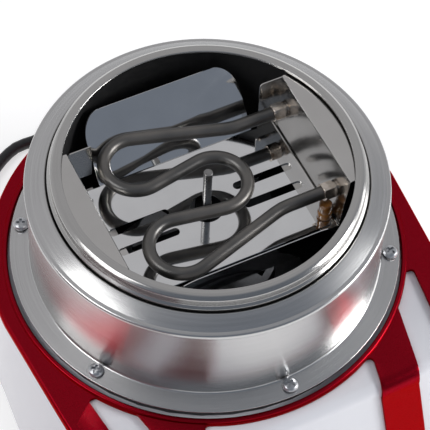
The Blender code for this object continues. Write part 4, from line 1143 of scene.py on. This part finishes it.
# %% Reflector box
def side_wall(name, sign):
    floor = FLOOR - SHEET - 0.3 * MM
    line = [(77.8 * MM, WALL_TOP), (WALL_TOP_HALF, WALL_TOP, 1.4 * MM),
            (WALL_FLOOR_HALF + 0.6 * MM, floor, 1.2 * MM), (WALL_FLOOR_HALF - 9 * MM, floor)]
    outline = [(sign * x, z) for x, z in bent_sheet(line)]
    low, high = sorted((sign * (WALL_TOP_HALF - 13 * MM), sign * (WALL_TOP_HALF - 0.1 * MM)))
    foot = WALL_TOP - 24 * MM
    tab = slab([(low, foot, 2 * MM), (high, foot), (high, WALL_TOP - SHEET),
                (low, WALL_TOP - SHEET, 2 * MM)], BOX_HALF - SHEET, BOX_HALF, "XZ")
    limit = rod(76.3 * MM, DECK, TOP + 10 * MM, steps=FINE)
    tools = [("UNION", scratch("tab", tab)), ("INTERSECT", scratch("well_limit", limit))]
    if sign > 0:
        for side in (1, -1):
            hole = rod(4.05 * MM, 40 * MM, 80 * MM)
            tools += less(scratch("ferrule_hole", hole, on_lead(side)))
    mesh = carved(slab(outline, -BOX_HALF, BOX_HALF, "XZ"), tools, 0.12 * MM, 1, 50.0)
    finished(name + "_sheet", mesh, SATIN_SHEET, [name], sharp=30.0)


def floor_sheet():
    low, high = FLOOR - 5 * MM, FLOOR + 5 * MM
    tools = [scratch("shaft_hole", rod(8.9 * MM, low, high, steps=64))]
    for x in (35.9, -35.9):
        for y in (6.5, -6.5):
            slot = box(17.1, 2.35, 2.3, (x, y))
            tools.append(scratch("slot", slab(slot, low, high, steps=6)))
    mesh = carved(slab(box(56.6, 36, 3), FLOOR - SHEET, FLOOR), less(*tools), 0.12 * MM, 1, 50.0)
    finished("floor_sheet", mesh, MIRROR, ["reflector_floor"], sharp=30.0)


def end_plate(name, sign, back, drop, lean, toe):
    top = TOP - drop
    foot = FLOOR - 2 * SHEET - 0.6 * MM - 4.5 * MM
    run = (top - foot) * lean
    line = [(back, top), (back - run, foot, 1.5 * MM), (back - run - toe, foot)]
    outline = [(sign * y, z) for y, z in bent_sheet(line)]
    half = 44.6 * MM
    shape = [(half, top, 13 * MM), (-half, top, 12 * MM), (-half, foot - 10 * MM),
             (half, foot - 10 * MM)]
    low, high = sorted((sign * 10 * MM, sign * 90 * MM))
    keep = [("INTERSECT", scratch("plate_outline", slab(shape, low, high, "XZ", 10)))]
    mesh = carved(slab(outline, -half - MM, half + MM, "YZ"), keep, 0.12 * MM, 1, 50.0)
    finished(name + "_plate", mesh, MIRROR, [name], sharp=30.0)


side_wall("left_reflector", -1)
side_wall("right_reflector", 1)
floor_sheet()
end_plate("rear_mirror", 1, 62.5 * MM, 9.0 * MM, 0.85, 5.0 * MM)
end_plate("front_mirror", -1, 58.0 * MM, 2.2 * MM, 0.35, 14.0 * MM)
print(f"the reflector's floor lies {(TOP - FLOOR) / MM:.1f} mm below the lip")

# %% [markdown]
# ## Heater
# A tubular heater is one long sheath bent into a flat serpentine. A Bezier curve with a bevel
# could show it, but its bends would not be true arcs. Here the centre line is straight between
# circles and bends round each one, so only the circles are listed. A heading is kept at each
# touch point, and the arc is filled in between two headings.

# %% Heater
HEATER_RADIUS = 3.5 * MM


def wrap(circles, start, end, step=math.radians(7)):
    """A path that runs straight between circles and bends round each (x, y, radius, sense)."""
    path = [start]
    stops = [(*start, 0.0, 1)] + circles + [(*end, 0.0, 1)]
    headings = []
    for (x0, y0, r0, s0), (x1, y1, r1, s1) in zip(stops, stops[1:]):
        gap = math.hypot(x1 - x0, y1 - y0)
        headings.append(math.atan2(y1 - y0, x1 - x0) - math.asin((s1 * r1 - s0 * r0) / gap))
    for arrive, leave, (x, y, radius, sense) in zip(headings, headings[1:], circles):
        turn = (leave - arrive) * sense % (2 * math.pi)
        count = max(2, round(turn / step))
        for i in range(count + 1):
            normal = arrive + sense * turn * i / count - sense * math.pi / 2
            path.append((x + radius * math.cos(normal), y + radius * math.sin(normal)))
    return path + [end]


def swept(path, radius, steps=20):
    """A round bar along a level path, closed at both ends."""
    bm = bmesh.new()
    rings = []
    for i, spot in enumerate(path):
        way = (path[min(i + 1, len(path) - 1)] - path[max(i - 1, 0)]).normalized()
        side = Vector((way.y, -way.x, 0.0)).normalized()
        up = side.cross(way)
        rings.append([
            bm.verts.new(spot + (side * math.cos(a) + up * math.sin(a)) * radius)
            for a in (2 * math.pi * k / steps for k in range(steps))])
    return joined(bm, rings, capped=True)


def heater():
    wall_x = 64.4 * MM
    rear, front = HEATER_CENTRE + HEATER_LEAD, HEATER_CENTRE - HEATER_LEAD
    turn, bend, lead_x, pitch = 16.6 * MM, 28 * MM, 33 * MM, 28 * MM
    left, right = -27.2 * MM, 5.4 * MM
    circles = [
        (lead_x, rear + bend, bend, -1), (left, HEATER_CENTRE + pitch, turn, 1),
        (right, HEATER_CENTRE, turn, -1), (left, HEATER_CENTRE - pitch, turn, 1),
        (lead_x, front - bend, bend, -1)]
    flat = wrap(circles, (wall_x, rear), (wall_x, front))
    bar = swept([Vector((x, y, HEATER_LEVEL)) for x, y in flat], HEATER_RADIUS)
    finished("heater_bar", bar, SHEATH, ["heater_tube"], sharp=60.0)
    print("the heater has", len(circles), "bends")


heater()

# %% [markdown]
# ## Nuts, pins and the glazed sleeve
# A hexagonal nut holds each end of the heater in the wall, and a terminal pin stands outside.
# A nut is a six-sided rod. Its chamfer could be modelled on each corner, but on a real nut it
# is turned, so the rod is kept only where it meets a turned shape. The amber sleeve is glazed
# ceramic: it is turned too, with a waist.

# %% Nuts, pins and the glazed sleeve
def ferrules():
    """A hexagonal nut and a collar on each end of the heater, and the terminal pin outside."""
    bore = HEATER_RADIUS + 0.1 * MM
    start, end = WALL_AT_HEATER - 7 * MM, WALL_AT_HEATER - 0.8 * MM
    low, high, wide = start + 3 * MM, WALL_AT_HEATER + 4 * MM, 3.74 * MM
    for label, side in (("rear", 1), ("front", -1)):
        sleeve = lathe([(0.0, low), (wide, low), (wide, high, 0.3 * MM), (0.0, high)],
                       SMALL, closed=False)
        dome = lathe([(0.0, start), (4.55 * MM, start), (5.25 * MM, start + 0.7 * MM),
                      (5.25 * MM, end - 0.3 * MM), (4.9 * MM, end), (0.0, end)],
                     SMALL, closed=False)
        tools = [("INTERSECT", scratch("nut_chamfer", dome)), ("UNION", scratch("sleeve", sleeve))]
        tools += less(scratch("bore", rod(bore, start - MM, WALL_AT_HEATER + 6 * MM)))
        mesh = carved(rod(5.2 * MM, start, end, steps=6), tools, 0.18 * MM, 2, 40.0)
        finished(f"{label}_nut", mesh, NICKEL, [f"{label}_ferrule"], turn=on_lead(side))
        pin = lathe(drawn([(0.0, 64.7), (1.6, 64.7), (1.6, 69.7, 0.4), (0.0, 69.7)]), 24,
                    closed=False)
        finished(f"{label}_pin", pin, NICKEL, [f"{label}_terminal"], turn=on_lead(side))


def insulator():
    """A glazed sleeve, waisted in the middle, that stands under the front nut."""
    low, high = FLOOR + 0.3 * MM, HEATER_LEVEL - 6.2 * MM
    spot = (WALL_AT_HEATER - 5.5 * MM, HEATER_CENTRE - HEATER_LEAD - 3 * MM, 0.0)
    tall = high - low
    profile = [
        (0.0, low), (4.0 * MM, low, 0.8 * MM), (3.9 * MM, low + 0.35 * tall, 0.6 * MM),
        (3.3 * MM, low + 0.45 * tall, 0.5 * MM), (3.6 * MM, low + 0.6 * tall, 0.5 * MM),
        (3.5 * MM, high, 1.2 * MM), (0.0, high)]
    finished("glazed_sleeve", lathe(profile, SMALL, closed=False), AMBER,
             ["insulator_sleeve"], turn=Matrix.Translation(spot))


ferrules()
insulator()
print("two nuts, two pins and a sleeve")

# %% [markdown]
# ## Shaft
# The bare shaft turns with the motor, so it hangs on the fan's body and not on the root. It
# could be a plain cylinder with a bevel, but its end is chamfered and one side is ground flat,
# which is where the stirring arm grips, so it is turned and then cut.

# %% Shaft
SHAFT_RADIUS = 2.4 * MM


def shaft():
    foot, top = 22 * MM, TOP - 6.6 * MM
    profile = [(0.0, foot), (SHAFT_RADIUS, foot, 0.4 * MM), (SHAFT_RADIUS, top, 0.35 * MM),
               (0.0, top)]
    flat = slab(drawn([(1.5, -5), (5, -5), (5, 5), (1.5, 5)]), top - 26 * MM, top - 4 * MM)
    mesh = carved(lathe(profile, SMALL, closed=False), less(scratch("flat", flat)))
    finished("drive_shaft", mesh, DARK_SHAFT, ["motor_shaft"], body="fan_shaft")
    print(f"the shaft ends {(TOP - top) / MM:.1f} mm below the lip")


shaft()

# %% [markdown]
# ## Switch and feet
# The rocker switch is square to the sloping front: a frame with a pocket, and a rocker that
# hangs on its own body so that it can tip. A rocker's face is hollow between two crests, so
# its outline is drawn from the side. The rubber feet are turned, with a small round edge where
# they meet the table and a hollow for the screw.

# %% Switch and feet
ROCKER_TILT = math.radians(7.0)


def switch():
    bezel = slab(box(11.5, 8.5, 2.0), -1.8 * MM, -0.3 * MM, "XZ", 6)
    housing = slab(box(10.0, 7.0, 1.0), -0.8 * MM, 16 * MM, "XZ")
    pocket = slab(box(9.1, 6.1, 0.8), -10 * MM, 9 * MM, "XZ")
    tools = [("UNION", scratch("housing", housing))] + less(scratch("pocket", pocket))
    finished("switch_frame", carved(bezel, tools, 0.35 * MM, 3, 50.0), BLACK_PLASTIC,
             ["switch_bezel"], turn=front_slope())
    outline = drawn([(3, -5.5), (3, 5.5), (-4.4, 5.5, 0.6), (-2.5, 0.0, 6), (-4.4, -5.5, 0.6)])
    mesh = carved(slab(outline, -8.5 * MM, 8.5 * MM, "YZ", 6), [], 0.35 * MM, 3, 50.0)
    finished("switch_rocker", mesh, BLACK_PLASTIC, ["rocker"],
             body="power_rocker", turn=front_slope() @ Matrix.Rotation(ROCKER_TILT, 4, "X"))


def feet():
    top, seat = FOOT_HEIGHT + 4.5 * MM, FOOT_HEIGHT - 0.3 * MM
    profile = [
        (0.0, top), (3 * MM, top, 0.5 * MM), (3 * MM, seat), (10 * MM, seat, 0.5 * MM)] + drawn([
            (9.2, 0.0, 0.9), (3.5, 0.0, 0.2), (3.0, 1.2, 0.3), (0.0, 1.2)])
    for name, x, y in (("front_left_foot", -78, -88), ("front_right_foot", 78, -88),
                       ("rear_right_foot", 78, 76), ("rear_left_foot", -78, 76)):
        finished(name + "_pad", lathe(profile, SMALL, closed=False), RUBBER, [name],
                 turn=Matrix.Translation((x * MM, y * MM, 0.0)))


switch()
feet()
print("a switch and four feet")

# %% [markdown]
# ## Inner pieces
# The fan, motor, base plate and wiring block lie inside or underneath. They could be made
# again in finer mesh, but they already have their real shape in the frame, so they only need
# their finishes: stacked steel for the core, copper for the windings, bronze for the bushes.

# %% Finishes of the inner pieces
KEPT = {
    BLACK_PLASTIC: ["spacer_ring", "thermostat", "cooling_fan", "base_plate"],
    CORE: ["motor_stator", "motor_rotor"],
    COPPER: ["upper_winding", "lower_winding"],
    BRONZE: ["upper_bush", "lower_bush"],
    ZINC: ["motor_top_cover", "motor_bottom_cover", "motor_mount", "mount_screw_1",
           "mount_screw_2", "mount_screw_3"],
    WHITE: ["terminal_block"]}
for finish, nodes in KEPT.items():
    for node in nodes:
        materials = frame["nodes"][node].data.materials
        materials.clear()
        materials.append(finish)
print(sum(len(nodes) for nodes in KEPT.values()), "pieces keep their shape")

# %% [markdown]
# ## Light, floor and world
# The machine stands on a white table in a bright studio. Three point lights could light it,
# but gloss and steel show what is around them, so the lights are large soft panels, and the
# world between them is grey rather than white: that gives the steel its dark and bright bands.

# %% Light, floor and world
def panel(name, place_at, size, power):
    """A soft rectangular light that is aimed at the middle of the machine."""
    data = bpy.data.lights.new(name, "AREA")
    data.shape = "RECTANGLE"
    data.size, data.size_y = size
    data.energy = power
    way = Vector((0.0, AXIS_Y, 0.1)) - Vector(place_at)
    aim = way.to_track_quat("-Z", "Y").to_matrix().to_4x4()
    put(name, data, Matrix.Translation(place_at) @ aim)


def staged(name, bm, material, place_at=None):
    """A thing of the studio's own, which isn't part of the machine."""
    mesh = mesh_of(name, bm)
    mesh.materials.append(material)
    put(name, mesh, place_at)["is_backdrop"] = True


def floor():
    finish = Finish("table")
    colour = grade(finish, cloud(finish, 3.0), (0.55, 0.55, 0.55), (0.58, 0.58, 0.58))
    material = finish.surface(
        base_color=colour, roughness=0.55, emission_color=(1.0, 1.0, 1.0),
        emission_strength=0.62)
    bm = bmesh.new()
    bmesh.ops.create_grid(bm, x_segments=8, y_segments=8, size=4.0)
    staged("table", bm, material, Matrix.Translation((0.0, 0.0, -0.2 * MM)))


def side_card():
    """A dull card low on the left that keeps the body's left side in half shade.

    The camera set up above doesn't see it. One that looks from the left does, and it hides
    the machine there.
    """
    finish = Finish("card")
    colour = grade(finish, cloud(finish, 6.0), (0.16, 0.10, 0.115), (0.19, 0.12, 0.135))
    outline = [(-0.42, 0.0), (0.06, 0.0), (0.06, 0.26), (-0.42, 0.26)]
    material = finish.surface(base_color=colour, roughness=0.8)
    staged("card", slab(outline, -0.37, -0.36, "YZ"), material)


class Sky(Finish):
    """The world's nodes, added in the same way as a finish's."""

    def __init__(self, name):
        self.material = bpy.data.worlds.new(name)
        self.material.use_nodes = True
        self.tree = self.material.node_tree
        self.shader = self.tree.nodes["Background"]


def world():
    """A bright horizon, and above it a sky that is light behind and cool and dark in front."""
    sky = Sky("studio")
    _, ahead, height = parts(sky, sky.node("ShaderNodeTexCoord", output="Generated"))
    dome = grade(sky, ahead * 0.5 + 0.5, (0.175, 0.197, 0.235), (0.50, 0.50, 0.515), 0.30, 0.74)
    low = grade(sky, height, (1.0, 1.0, 1.0), (0.0, 0.0, 0.0), 0.10, 0.28)
    inputs = {"Fac": low, "Color1": dome, "Color2": (0.62, 0.63, 0.65)}
    bpy.context.scene.world = sky.surface(color=sky.node("ShaderNodeMixRGB", {}, inputs))
    bpy.context.scene.view_settings.view_transform = "Standard"


floor()
world()
panel("key_panel", (1.36, -0.80, 0.85), (0.7, 0.5), 17.5)
panel("left_panel", (-1.05, 0.10, 1.20), (0.7, 0.7), 6.0)
panel("right_panel", (1.50, -0.25, 0.35), (0.5, 0.3), 1.6)
side_card()
print(len(bpy.data.lights), "soft panels light the table")

# %% [markdown]
# ## Size
# The plain solids' box and the visible skin's box are both printed.

# %% Print both boxes and finish
boxes = {"cad": cad_box, "visual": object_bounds()}
boxes = {name: [list(corner) for corner in corners] for name, corners in boxes.items()}
print(boxes)
